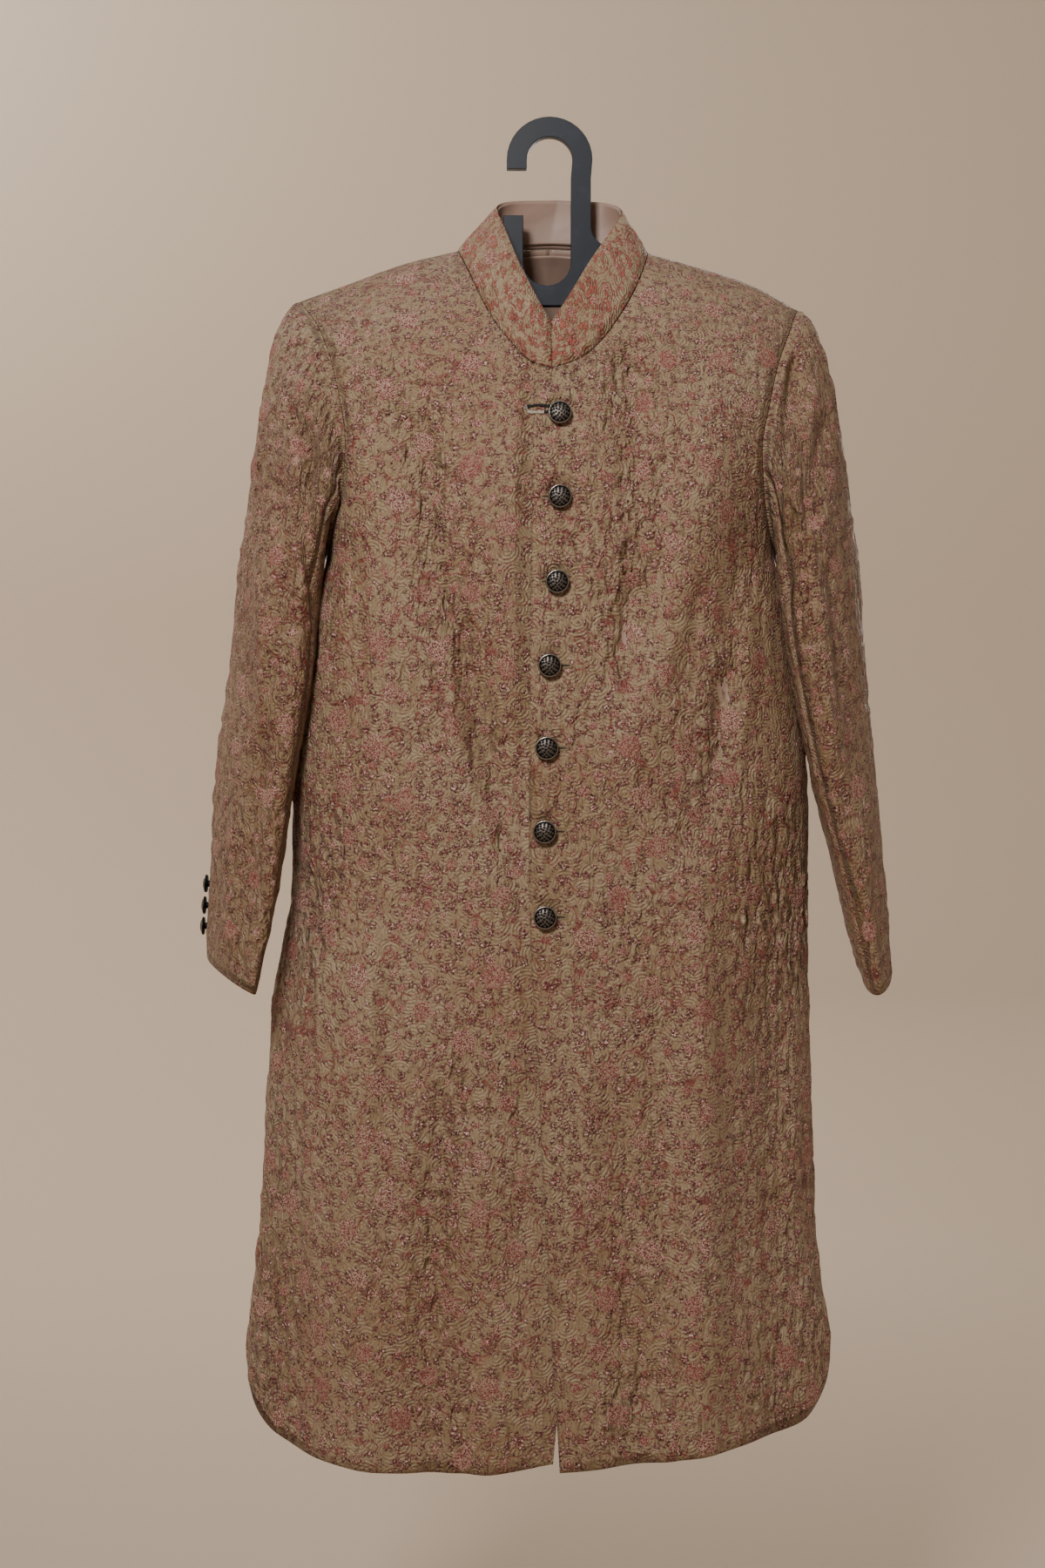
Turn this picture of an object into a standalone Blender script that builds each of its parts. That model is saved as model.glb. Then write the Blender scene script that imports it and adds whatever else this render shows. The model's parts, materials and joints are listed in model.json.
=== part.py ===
"""Sherwani coat on a moulded hanger.

A knee-length stand-collar coat hangs empty on a flat plastic hanger. Each cut piece is a hollow cloth
wall of its own, and neighbouring pieces lie 0.3 mm apart at their seams. Tables and sizes are in
millimetres; meshes are made in metres. +Z is up, the front faces -Y, the wearer's left is +X, and the
origin is the seat inside the hook.
"""

import math

import bmesh
import bpy
import numpy as np
from mathutils import Matrix, Vector
from mathutils.bvhtree import BVHTree

MM = 0.001

# Cloth
WALL = 2.4
LINING_WALL = 1.2
SEAM_GAP = 0.3
LAP_STEP = 4.4
LAP_RUN = 12.0

# Torso form
ROUNDNESS = 2.4
FRONT_FALL = 270.0
BACK_FALL = 220.0
SHOULDER_EASE = 0.68
NECK_DROP_BACK = 17.0
UNDERARM_ROW = 0.62
UNDERARM_LEVEL = -400.0
UNDERARM_DIP = 5.0
NECK_ROW = 0.80
BACK_NECK_SHARE = 0.375
UNDER_EDGE_IN = 2.0

# Collar
COLLAR_SHOULDER = 0.60
COLLAR_BULGE = 1.6
COLLAR_END_GAP = 0.25
COLLAR_FOOT_GAP = 0.6
NECK_LINING_GAP = 0.6
NECK_START = 0.12
STRIP_DROP = 11.0
CAP_BLEND = 0.06
COLLAR_BLEND = 0.25

# Grids: shares across and up each panel where its walls have points. Neighbours share their points
# along a seam.
FRONT_SHARES = (0, 0.045, 0.10, 0.17, 0.25, 0.33, 0.41, 0.50, 0.59, 0.68, 0.77, 0.86, 0.93, 1)
STRIP_SHARES = (-1, -0.66, -0.33)
LAP_SHARE = 0.04
BACK_SHARES = (0, 0.125, 0.25, 0.3125, 0.375, 0.48, 0.59, 0.70, 0.80, 0.90, 1)
LOW_ROWS = (0, 0.04, 0.09, 0.15, 0.21, 0.27, 0.33, 0.39, 0.45, 0.51, 0.57, 0.62)
CHEST_ROWS = (0.635, 0.665, 0.71, 0.755)
NECK_SHARES = (0, 0.12, 0.30, 0.50, 0.68, 0.83, 0.93, 0.982, 1)
BACK_ROWS = (0.635, 0.665, 0.71, 0.755, 0.80, 0.85, 0.895, 0.93, 0.96, 0.982, 0.995, 1)
SLEEVE_ROWS = (0, 0.03, 0.075, 0.13, 0.19, 0.26, 0.33, 0.40, 0.48, 0.56, 0.64, 0.72, 0.80, 0.87, 0.94, 1)
COLLAR_UPS = (0, 0.10, 0.38, 0.68, 0.96, 1)
LINING_COLUMNS = 3
LINING_ROWS = slice(4, 11)

# Sleeves
CAP_END = 0.40
CAP_PUSH = 0.42
CAP_SETTLE = 0.90
FRONT_SEAM_ANGLE = 118.0
BACK_SEAM_ANGLE = 279.0
CUFF_TILT = 12.0
CUFF_SLOPE = 5.0

# Buttons
BUTTON_RADIUS = 10.8
BUTTON_HEIGHT = 8.0
BUTTON_STEPS = 16
CUFF_BUTTON_RADIUS = 8.8
CUFF_BUTTON_HEIGHT = 7.0
CUFF_BUTTON_STEPS = 12
CUFF_BUTTON_ANGLE = 299.0
BUTTON_SEAT = 0.3
SHANK = 0.36
FOOT_PROBES = 12
PROBE_START = 30.0

# Hanger
HOOK_INNER = 22.0
HOOK_OUTER = 41.5
HOOK_TIP = -31.0
STEM_INNER = 20.5
STEM_OUTER = 40.0
PRONG_TOP = -76.0
PRONG_LEFT = -45.0
PRONG_RIGHT = -25.5
CUTOUT_BOTTOM = -144.0
WEB_BOTTOM = -163.5
ARM_REACH = 204.0
ARM_SEAT = 5.0
NECK_SEAT = 3.0
HANGER_THICKNESS = 9.0
HANGER_EDGE = 2.0


def table(columns, *rows):
    """Rows of numbers as dictionaries with the named columns."""
    names = columns.split()
    return [dict(zip(names, row)) for row in rows]


# Level sections of the coat: half widths to the wearer's right and left of the hook, and depths to
# front and back.
SECTIONS = table(
    "z      right  left  front  back",
    (-1290, 293, 272, 121, 110),
    (-1160, 292, 271, 120, 109),
    (-1110, 287, 264, 118, 107),
    (-1050, 280, 257, 115, 104),
    (-920, 273, 253, 110, 98),
    (-837, 268, 250, 107, 95),
    (-710, 246, 249, 104, 92),
    (-626, 236, 248, 104, 92),
    (-520, 225, 230, 106, 95),
    (-430, 216, 218, 109, 98),
    (-405, 214, 216, 110, 99),
    (-350, 218, 223, 110, 100),
    (-304, 234, 240, 110, 100),
    (-262, 250, 256, 110, 100),
    (-222, 258, 265, 110, 100),
    (-190, 267, 276, 110, 100),
    (-158, 288, 292, 110, 100),
    (-60, 330, 330, 110, 100),
)

# The ridge that the shoulders hang over, carried on across the neck.
RIDGE = table(
    "x     z",
    (-330, -190),
    (-242, -158),
    (-195, -141),
    (-136, -120),
    (-90, -109),
    (0, -84),
    (96, -111),
    (193, -141),
    (240, -166),
    (330, -215),
)

# Front edges: the lap's edge on top (wearer's left) and the edge below it (wearer's right).
FRONT_EDGES = table(
    "z      lap    under",
    (-1262, 8.2, 0.5),
    (-1208, 5.0, 5.6),
    (-1127, -0.6, 13.0),
    (-1041, -4.6, 20.0),
    (-970, -8.6, 23.0),
    (-892, -11.8, 25.0),
    (-816, -16.6, 25.0),
    (-746, -19.8, 24.0),
    (-666, -20.6, 24.0),
    (-546, -19.8, 24.0),
    (-386, -17.4, 23.0),
    (-237, -15.5, 21.0),
)

# Lower edges from the centre (0) to the side seam (1).
HEMS = table(
    "across  left   right  back",
    (0.00, -1256, -1248, -1276),
    (0.10, -1253, -1256, -1276),
    (0.25, -1246, -1259, -1274),
    (0.50, -1235, -1253, -1267),
    (0.68, -1225, -1240, -1253),
    (0.80, -1206, -1222, -1232),
    (0.92, -1183, -1193, -1198),
    (1.00, -1162, -1162, -1162),
)

# Neckline of the fronts, from the centre front (0) to the shoulder seam (1).
NECKLINE = table(
    "share  right_x  right_z  left_x  left_z",
    (0.00, 0.6, -240.5, 0.6, -240.5),
    (0.12, -15.5, -236, 18, -236),
    (0.32, -42, -209, 39, -222),
    (0.55, -59, -182, 64, -189),
    (0.78, -73, -150, 83, -152),
    (0.93, -84, -123, 92, -126),
    (1.00, -90, -109, 96, -111),
)

# Armholes, from the underarm up to the shoulder tip; x is the distance from the middle.
ARMHOLES = table(
    "row   right_x  right_z  left_x  left_z  right_back  left_back  back_z",
    (0.62, 214, -405, 216, -405, 214, 216, -405),
    (0.66, 207, -382, 209, -383, 210, 212, -381),
    (0.72, 197, -350, 203, -352, 206, 210, -346),
    (0.80, 193, -304, 200, -310, 205, 209, -298),
    (0.87, 199, -262, 207, -270, 208, 212, -257),
    (0.93, 209, -222, 217, -230, 215, 219, -219),
    (0.97, 221, -191, 229, -197, 225, 229, -190),
    (1.00, 242, -158, 240, -166, 242, 240, -158),
)

# Largest folds: a straight run from top to low with a sideways bow. Positive heights stand out,
# negative ones sink in.
FRONT_FOLDS = table(
    "top_x  top_z  low_x  low_z  bow  width  height",
    (-132, -215, -24, -720, -8, 22, -11),
    (-172, -260, -150, -700, -6, 27, 6),
    (-48, -270, -36, -600, 2, 20, 5),
    (52, -170, 62, -560, 22, 22, -9),
    (165, -200, 44, -680, 22, 30, 8),
    (196, -340, 128, -720, 0, 17, -6),
    (132, -660, 136, -1400, 4, 24, 7),
    (-168, -690, -176, -1400, 4, 26, 7),
    (-92, -820, -108, -1400, -6, 19, -7),
    (-66, -900, -60, -1400, 4, 17, 4),
    (60, -860, 70, -1400, 6, 22, -5),
    (-236, -860, -250, -1400, 0, 20, -5),
    (206, -760, 214, -1400, -4, 20, -5),
)
BACK_FOLDS = table(
    "top_x  top_z  low_x  low_z  bow  width  height",
    (-118, -180, -36, -640, -8, 24, -8),
    (104, -190, 40, -600, 10, 22, -7),
    (168, -240, 150, -690, 6, 26, 6),
    (-166, -250, -158, -720, -4, 26, 6),
    (-148, -640, -170, -1420, 4, 26, 8),
    (-84, -760, -98, -1420, -6, 20, -7),
    (58, -700, 74, -1420, 6, 24, 6),
    (124, -720, 146, -1420, 4, 20, -8),
    (196, -780, 212, -1420, 0, 22, 6),
    (-226, -840, -240, -1420, 0, 20, -6),
)

# Sections of each sleeve below its cap: centre, half thickness, half depth and the turn that brings
# its front inward.
SLEEVES = table(
    "z     right_x  left_x  centre_y  thick  deep  right_turn  left_turn",
    (-809, -304.5, 313, -30, 14, 66, 25, 7),
    (-781, -302, 308, -26, 17, 69, 25.5, 7.5),
    (-710, -293.5, 298, -16, 23, 75, 26, 9),
    (-626, -286, 285, -8, 29, 80, 25, 12),
    (-520, -270, 270, -4, 34, 83, 22, 16),
    (-432, -261, 261, -2, 37.5, 85, 18, 18),
)

# Sleeve folds: angle round the arm at the top and low ends, and the share of the sleeve's length at each end.
SLEEVE_FOLDS = table(
    "side  top_angle  top_row  low_angle  low_row  width  height",
    (-1, 62, 0.06, 96, 0.36, 13, -7),
    (-1, 96, 0.28, 128, 0.46, 12, -5),
    (-1, 20, 0.50, 60, 0.74, 20, -3),
    (-1, 230, 0.10, 262, 0.45, 14, -6),
    (1, 44, 0.03, 82, 0.34, 11, -9),
    (1, 100, 0.24, 120, 0.44, 12, -5),
    (1, 30, 0.52, 66, 0.76, 20, -3),
    (1, 226, 0.10, 258, 0.45, 14, -6),
)

# Top edge of the collar from the centre front (0) to the centre back (1).
COLLAR_TOP = table(
    "along  right_x  right_y  right_z  left_x  left_y  left_z",
    (0.00, 0.6, -79, -194, 0.6, -79, -194),
    (0.18, -16, -71, -163, 19, -71, -165),
    (0.34, -31, -57, -130, 37, -57, -133),
    (0.50, -44, -33, -94, 58, -32, -98),
    (0.64, -52, -4, -68, 71, -4, -72),
    (0.82, -36, 17, -57, 56, 17, -59),
    (1.00, 9, 26, -54, 9, 26, -54),
)

FRONT_BUTTONS = table(
    "x     z",
    (8.2, -285),
    (8.2, -362),
    (5.8, -440),
    (-1.4, -517),
    (-3.8, -593),
    (-5.4, -670),
    (-5.4, -749),
)
CUFF_BUTTON_DROPS = (-737, -758, -778)

MATERIALS = {
    "silk": ((0.262, 0.171, 0.105), 0.55, 0.0),
    "satin": ((0.250, 0.172, 0.145), 0.38, 0.0),
    "metal": ((0.060, 0.048, 0.042), 0.42, 0.9),
    "plastic": ((0.034, 0.040, 0.050), 0.45, 0.0),
}


# Smooth curves and steps

def along(rows, key, column, at):
    """Value of a column where the key equals at: a smooth curve through the rows, with no overshoot."""
    knots = np.array([row[key] for row in rows], float)
    values = np.array([row[column] for row in rows], float)
    span = np.diff(knots)
    slope = np.diff(values) / span
    product = slope[:-1] * slope[1:]
    total = slope[:-1] + slope[1:]
    level = np.where(product > 0, 2 * product / np.where(total == 0, 1, total), 0)
    tangent = np.concatenate([slope[:1], level, slope[-1:]])
    at = np.clip(at, knots[0], knots[-1])
    low = np.clip(np.searchsorted(knots, at) - 1, 0, len(span) - 1)
    t = (at - knots[low]) / span[low]
    rise = values[low + 1] - values[low]
    bend = tangent[low] * span[low] * t * (1 - t) ** 2 - tangent[low + 1] * span[low] * t * t * (1 - t)
    return values[low] + rise * t * t * (3 - 2 * t) + bend


def ease(low, high, value):
    """0 below low, 1 above high and smooth between."""
    t = np.clip((value - low) / (high - low), 0, 1)
    return t * t * (3 - 2 * t)


def unit(vectors):
    """Vectors scaled to length 1."""
    return vectors / np.maximum(np.linalg.norm(vectors, axis=-1, keepdims=True), 1e-12)


def stack(x, y, z):
    """Points from coordinate arrays of one shape."""
    return np.stack(np.broadcast_arrays(x, y, z), axis=-1).astype(float)


# Torso surface

def side_name(side):
    """Column name of a side: the wearer's right is -X, the wearer's left is +X."""
    return "right" if side < 0 else "left"


def section(z):
    """Middle and half width of the level section at z."""
    right = along(SECTIONS, "z", "right", z)
    left = along(SECTIONS, "z", "left", z)
    return (left - right) / 2, (left + right) / 2


def fold_height(x, z, folds):
    """How far the folds stand out at x, z."""
    total = 0.0
    for fold in folds:
        t = (fold["top_z"] - z) / (fold["top_z"] - fold["low_z"])
        inside = np.clip(t, 0, 1)
        centre = fold["top_x"] + (fold["low_x"] - fold["top_x"]) * inside
        centre = centre + 4 * fold["bow"] * inside * (1 - inside)
        fade = ease(0, 0.22, t) * ease(0, 0.22, 1 - t)
        total = total + fold["height"] * fade * np.exp(-(((x - centre) / fold["width"]) ** 2))
    return total


def torso(x, z, face):
    """Outer surface of the coat at x, z; face is -1 for the front and 1 for the back."""
    middle, half = section(z)
    reach = np.clip(np.abs(x - middle) / half, 0, 1)
    bend = np.maximum(1 - reach ** ROUNDNESS, 0) ** (1 / ROUNDNESS)
    drop = along(RIDGE, "x", "z", x) - z
    fall = FRONT_FALL if face < 0 else BACK_FALL
    shoulder = (1 - (1 - np.clip(drop / fall, 0, 1)) ** 2) ** SHOULDER_EASE
    depth = along(SECTIONS, "z", "front" if face < 0 else "back", z)
    folds = fold_height(x, z, FRONT_FOLDS if face < 0 else BACK_FOLDS) * shoulder * ease(0, 0.5, bend)
    return stack(x, face * (depth * bend * shoulder + folds), z)


def swing(start, end, share, z):
    """x that goes from start to end by equal angles round the section at z."""
    middle, half = section(z)
    first = np.arcsin(np.clip((start - middle) / half, -1, 1))
    last = np.arcsin(np.clip((end - middle) / half, -1, 1))
    return middle + half * np.sin(first + (last - first) * share)


def neck(side, share):
    """Front neckline from the centre front (0) to the shoulder seam (1); below 0 is the other side."""
    name = side_name(side)
    other = side_name(-side)
    own_x = along(NECKLINE, "share", name + "_x", share)
    own_z = along(NECKLINE, "share", name + "_z", share)
    far_x = along(NECKLINE, "share", other + "_x", -share)
    far_z = along(NECKLINE, "share", other + "_z", -share)
    return np.where(share >= 0, own_x, far_x), np.where(share >= 0, own_z, far_z)


def back_neck(side, share):
    """Back neckline from the centre back (0) to the shoulder seam (1)."""
    x = NECKLINE[-1][side_name(side) + "_x"] * share
    return x, along(RIDGE, "x", "z", x) - NECK_DROP_BACK * (1 - share ** 2) ** 1.3


def armhole(side, face, row):
    """Armhole x, z at a row."""
    name = side_name(side)
    if face < 0:
        return side * along(ARMHOLES, "row", name + "_x", row), along(ARMHOLES, "row", name + "_z", row)
    tip_gap = ARMHOLES[-1][name + "_z"] - ARMHOLES[-1]["back_z"]
    x = side * along(ARMHOLES, "row", name + "_back", row)
    return x, along(ARMHOLES, "row", "back_z", row) + tip_gap * ease(NECK_ROW, 1.0, row)


def low_level(column, across, row):
    """Height of a point below the underarm: rows follow the hem and straighten as they rise."""
    hem = along(HEMS, "across", column, across)
    return hem + (UNDERARM_LEVEL - UNDERARM_DIP * across - hem) * np.clip(row / UNDERARM_ROW, 0, 1)


def front_edge(side, z):
    """x where the main part of a front starts: the lap's edge, or just behind it on the panel below."""
    lap = along(FRONT_EDGES, "z", "lap", z)
    if side > 0:
        return lap
    return np.minimum(lap, along(FRONT_EDGES, "z", "under", z)) - UNDER_EDGE_IN


def under_lap(x, z):
    """1 where the wearer's right front lies under the lap, 0 clear of it."""
    lap = along(FRONT_EDGES, "z", "lap", z)
    under = along(FRONT_EDGES, "z", "under", z)
    near = np.minimum(lap, under) - UNDER_EDGE_IN
    return (1 - ease(0, LAP_RUN, near - x)) * ease(-7.0, -2.0, under - lap)


def ridge_bow(side, x):
    """Rise of the shoulder ridge above the straight line from the neck to the shoulder tip."""
    name = side_name(side)
    neck_x, neck_z = NECKLINE[-1][name + "_x"], NECKLINE[-1][name + "_z"]
    tip_x, tip_z = side * ARMHOLES[-1][name + "_x"], ARMHOLES[-1][name + "_z"]
    return along(RIDGE, "x", "z", x) - (neck_z + (tip_z - neck_z) * (x - neck_x) / (tip_x - neck_x))


def front_point(side, across, row):
    """Outer surface of a front: across runs from edge (0) to side (1), row from hem (0) to shoulder (1).

    On the wearer's right, across below 0 is the strip under the lap, and -1 is that strip's free edge.
    """
    main = np.clip(across, 0, 1)
    level = low_level(side_name(side), main, row)
    middle, half = section(level)
    low_x = swing(front_edge(side, level), middle + side * half, main, level)
    high = np.clip(row, UNDERARM_ROW, 1)
    first_share = -NECK_START if side > 0 else NECK_START
    start_z = neck(side, np.array(first_share))[1]
    chest = np.clip((high - UNDERARM_ROW) / (NECK_ROW - UNDERARM_ROW), 0, 1)
    chest_z = UNDERARM_LEVEL + (start_z - UNDERARM_LEVEL) * chest
    neck_row = np.clip((high - NECK_ROW) / (1 - NECK_ROW), 0, 1)
    neck_x, neck_z = neck(side, first_share + (1 - first_share) * neck_row)
    below_neck = high <= NECK_ROW
    inner_x = np.where(below_neck, front_edge(side, chest_z), neck_x)
    inner_z = np.where(below_neck, chest_z, neck_z)
    outer_x, outer_z = armhole(side, -1, high)
    high_x = swing(inner_x, outer_x, main, inner_z + (outer_z - inner_z) * main)
    high_x = high_x + (inner_x + (outer_x - inner_x) * main - high_x) * ease(NECK_ROW, 1, row)
    high_z = inner_z + (outer_z - inner_z) * (high_x - inner_x) / (outer_x - inner_x)
    high_z = high_z + ridge_bow(side, high_x) * ease(0.86, 1, row)
    upper = row > UNDERARM_ROW
    x = np.where(upper, high_x, low_x)
    z = np.where(upper, high_z, level)
    if side > 0:
        return torso(x, z, -1)
    strip = np.clip(-across, 0, 1)
    x = x + (along(FRONT_EDGES, "z", "under", z) - x) * strip
    z = z - STRIP_DROP * ease(0, 0.5, strip) * ease(0.75, NECK_ROW, row)
    points = torso(x, z, -1)
    points[..., 1] += LAP_STEP * under_lap(x, z)
    return points


def back_line(side, across, up):
    """x, z on a back panel's lower or upper edge above the underarm level; up is 0 or 1."""
    if up == 0:
        z = UNDERARM_LEVEL - UNDERARM_DIP * across
        middle, half = section(z)
        return swing(middle, middle + side * half, across, z), z
    neck_x, neck_z = back_neck(side, np.clip(across / BACK_NECK_SHARE, 0, 1))
    tip_x = side * ARMHOLES[-1][side_name(side) + "_x"]
    seam = np.clip((across - BACK_NECK_SHARE) / (1 - BACK_NECK_SHARE), 0, 1)
    x = neck_x + (tip_x - neck_x) * seam
    return x, np.where(across <= BACK_NECK_SHARE, neck_z, along(RIDGE, "x", "z", x))


def back_point(side, across, row):
    """Outer surface of a back panel: across runs from the centre-back seam (0) to the side (1)."""
    level = low_level("back", across, row)
    middle, half = section(level)
    low_x = swing(middle, middle + side * half, across, level)
    up = np.clip((row - UNDERARM_ROW) / (1 - UNDERARM_ROW), 0, 1)
    base = back_line(side, across, 0)
    top = back_line(side, across, 1)
    outer = armhole(side, 1, np.clip(row, UNDERARM_ROW, 1))
    side_base = back_line(side, np.array(1.0), 0)
    side_top = back_line(side, np.array(1.0), 1)
    high = []
    for axis in (0, 1):
        straight = base[axis] + (top[axis] - base[axis]) * up
        side_line = side_base[axis] + (side_top[axis] - side_base[axis]) * up
        high.append(straight + (outer[axis] - side_line) * across)
    upper = row > UNDERARM_ROW
    return torso(np.where(upper, high[0], low_x), np.where(upper, high[1], level), 1)


def normals(point, across, row, flip):
    """Unit normals of a surface given by point(across, row); level front to back on the ridge."""
    step = 1e-4
    right = point(np.minimum(across + step, 1), row) - point(across - step * (across > step), row)
    above = point(across, np.minimum(row + step, 1)) - point(across, np.maximum(row - step, 0))
    out = flip * unit(np.cross(right, above))
    return np.where(np.isclose(row, 1)[..., None], unit(out * (1, 0, 1)), out)


# Sleeves

def armhole_ring(side, angles):
    """Armhole points and body normals round the arm: 0 shoulder tip, 90 front, 180 underarm, 270 back."""
    rows, found = armhole_lengths(side)
    angles = np.asarray(angles, float) % 360
    front = angles <= 180
    front_row = np.interp(1 - np.clip(angles, 0, 180) / 180, found[-1], rows)
    back_row = np.interp((np.clip(angles, 180, 360) - 180) / 180, found[1], rows)
    ones = np.ones_like(angles)
    points = np.where(front[..., None], front_point(side, ones, front_row), back_point(side, ones, back_row))
    front_out = normals(lambda a, r: front_point(side, a, r), ones * 0.9999, front_row, side)
    back_out = normals(lambda a, r: back_point(side, a, r), ones * 0.9999, back_row, -side)
    return points, np.where(front[..., None], front_out, back_out)


def armhole_away(side, angles):
    """Directions that lead off the body across the armhole's edge, in line with the cloth there."""
    step = 0.5
    ahead, _ = armhole_ring(side, angles + step)
    behind, _ = armhole_ring(side, angles - step)
    _, out = armhole_ring(side, angles)
    return -side * unit(np.cross(ahead - behind, out))


def armhole_lengths(side):
    """Rows from underarm to tip, and the share of the armhole's half length below each, both sides."""
    rows = np.linspace(UNDERARM_ROW, 1, 160)
    shares = {}
    for face, point in ((-1, front_point), (1, back_point)):
        line = point(side, np.ones_like(rows), rows)
        length = np.concatenate([[0], np.cumsum(np.linalg.norm(np.diff(line, axis=0), axis=1))])
        shares[face] = length / length[-1]
    return rows, shares


def arm_ring(side, angles, z):
    """A level ring of the sleeve at height z, before its cuff tilt."""
    name = side_name(side)
    turn = np.radians(along(SLEEVES, "z", name + "_turn", z))
    thick = along(SLEEVES, "z", "thick", z) * np.cos(np.radians(angles))
    deep = along(SLEEVES, "z", "deep", z) * np.sin(np.radians(angles))
    x = along(SLEEVES, "z", name + "_x", z) + side * (thick * np.cos(turn) - deep * np.sin(turn))
    y = along(SLEEVES, "z", "centre_y", z) - thick * np.sin(turn) - deep * np.cos(turn)
    tilt = CUFF_TILT * np.sin(np.radians(angles)) - CUFF_SLOPE * np.cos(np.radians(angles))
    return stack(x, y, z - tilt)


def sleeve_fold(side, angles, share):
    """How far the sleeve's folds stand out."""
    total = np.zeros(np.broadcast(angles, share).shape)
    for fold in SLEEVE_FOLDS:
        if fold["side"] != side:
            continue
        t = (share - fold["top_row"]) / (fold["low_row"] - fold["top_row"])
        centre = fold["top_angle"] + (fold["low_angle"] - fold["top_angle"]) * np.clip(t, 0, 1)
        fade = ease(-0.05, 0.3, t) * ease(-0.05, 0.35, 1 - t)
        total = total + fold["height"] * fade * np.exp(-(((angles - centre) / fold["width"]) ** 2))
    return total


def sleeve_base(side, angles, share):
    """Sleeve surface without folds: share runs from the armhole (0) to the cuff (1)."""
    angles, share = np.broadcast_arrays(np.asarray(angles, float), np.asarray(share, float))
    start, _ = armhole_ring(side, angles)
    top_z = SLEEVES[-1]["z"]
    end = arm_ring(side, angles, top_z + 0 * angles)
    turn = np.radians(angles)
    reach = np.linalg.norm(end - start, axis=-1, keepdims=True)
    under = (1 - np.cos(turn)) / 2
    push = stack(side * (1 - 0.25 * under), -0.38 * np.sin(turn), -0.22 - 0.1 * under)
    leave = unit(push) * reach * CAP_PUSH
    settle = stack(side * 0.10, 0 * turn, -1) * reach * CAP_SETTLE
    start = start + armhole_away(side, angles) * SEAM_GAP
    t = np.clip(share / CAP_END, 0, 1)[..., None]
    cap = start * (1 + 2 * t) * (1 - t) ** 2 + leave * t * (1 - t) ** 2
    cap = cap + end * t * t * (3 - 2 * t) - settle * t * t * (1 - t)
    low = np.clip((share - CAP_END) / (1 - CAP_END), 0, 1)
    arm = arm_ring(side, angles, top_z + (SLEEVES[0]["z"] - top_z) * low)
    return np.where((share <= CAP_END)[..., None], cap, arm)


def sleeve_frame(side, angles, share):
    """Outer points of a sleeve and the directions in which its wall is thick."""
    angles, share = np.broadcast_arrays(np.asarray(angles, float), np.asarray(share, float))
    step = 0.02
    turn = sleeve_base(side, angles + step, share) - sleeve_base(side, angles - step, share)
    down_step = 1e-4
    lower = sleeve_base(side, angles, np.minimum(share + down_step, 1))
    down = lower - sleeve_base(side, angles, np.maximum(share - down_step, 0))
    out = unit(np.cross(turn, down)) * side
    _, body_out = armhole_ring(side, angles)
    blend = ease(0, CAP_BLEND, share)[..., None]
    out = unit(body_out * (1 - blend) + out * blend)
    fold = sleeve_fold(side, angles, share) * ease(0, CAP_BLEND, share)
    return sleeve_base(side, angles, share) + out * fold[..., None], out


# Collar

def collar_foot(side, share):
    """Foot of the collar and the body's normal there, from the centre front (0) to the centre back (1)."""
    front = share <= COLLAR_SHOULDER
    front_x, front_z = neck(side, np.clip(share / COLLAR_SHOULDER, 0, 1))
    back_x, back_z = back_neck(side, np.clip((1 - share) / (1 - COLLAR_SHOULDER), 0, 1))
    points = np.where(front[..., None], torso(front_x, front_z, -1), torso(back_x, back_z, 1))
    out = np.where(front[..., None], torso_out(front_x, front_z, -1), torso_out(back_x, back_z, 1))
    return points, np.where(np.isclose(share, COLLAR_SHOULDER)[..., None], unit(out * (1, 0, 1)), out)


def torso_out(x, z, face):
    """Outward normal of the torso at x, z, taken along the ridge and just below the point."""
    step = 0.05
    here = torso(x, z, face)
    rise = along(RIDGE, "x", "z", x + step) - along(RIDGE, "x", "z", x)
    aside = torso(x + step, z + rise, face) - here
    below = torso(x, z - step, face) - here
    return unit(np.cross(below, aside)) * -face


def collar_point(side, share, up):
    """Outer face of the collar: up runs from its foot (0) to its top edge (1)."""
    name = side_name(side)
    foot, _ = collar_foot(side, share)
    top = stack(*[along(COLLAR_TOP, "along", name + axis, share) for axis in ("_x", "_y", "_z")])
    rise = unit(top - foot)
    foot = foot + rise * COLLAR_FOOT_GAP
    up = np.asarray(up, float)[..., None]
    return foot + (top - foot) * up


def collar_frame(side, share, up):
    """Outer points of the collar and the directions in which its wall is thick."""
    share, up = np.broadcast_arrays(np.asarray(share, float), np.asarray(up, float))
    step = 1e-3
    ahead = collar_point(side, np.minimum(share + step, 1), up)
    ahead = ahead - collar_point(side, np.maximum(share - step, 0), up)
    rise = collar_point(side, share, np.ones_like(up)) - collar_point(side, share, np.zeros_like(up))
    level = ahead.copy()
    middle = share > 1 - 2 * step
    level[middle] = level[middle] * (0, 0, 0) + (side * -1.0, 0, 0)
    out = unit(np.cross(level, rise)) * side
    _, body_out = collar_foot(side, share)
    blend = ease(0, COLLAR_BLEND, up)[..., None]
    out = unit(body_out * (1 - blend) + out * blend)
    bulge = COLLAR_BULGE * 4 * up * (1 - up)
    return collar_point(side, share, up) + out * bulge[..., None], out


# Meshes

def material(name):
    """Plain surface in one of the coat's colours."""
    if name in bpy.data.materials:
        return bpy.data.materials[name]
    colour, roughness, metallic = MATERIALS[name]
    made = bpy.data.materials.new(name)
    made.use_nodes = True
    surface = made.node_tree.nodes["Principled BSDF"]
    surface.inputs["Base Color"].default_value = (*colour, 1)
    surface.inputs["Roughness"].default_value = roughness
    surface.inputs["Metallic"].default_value = metallic
    made.diffuse_color = (*colour, 1)
    return made


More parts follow.
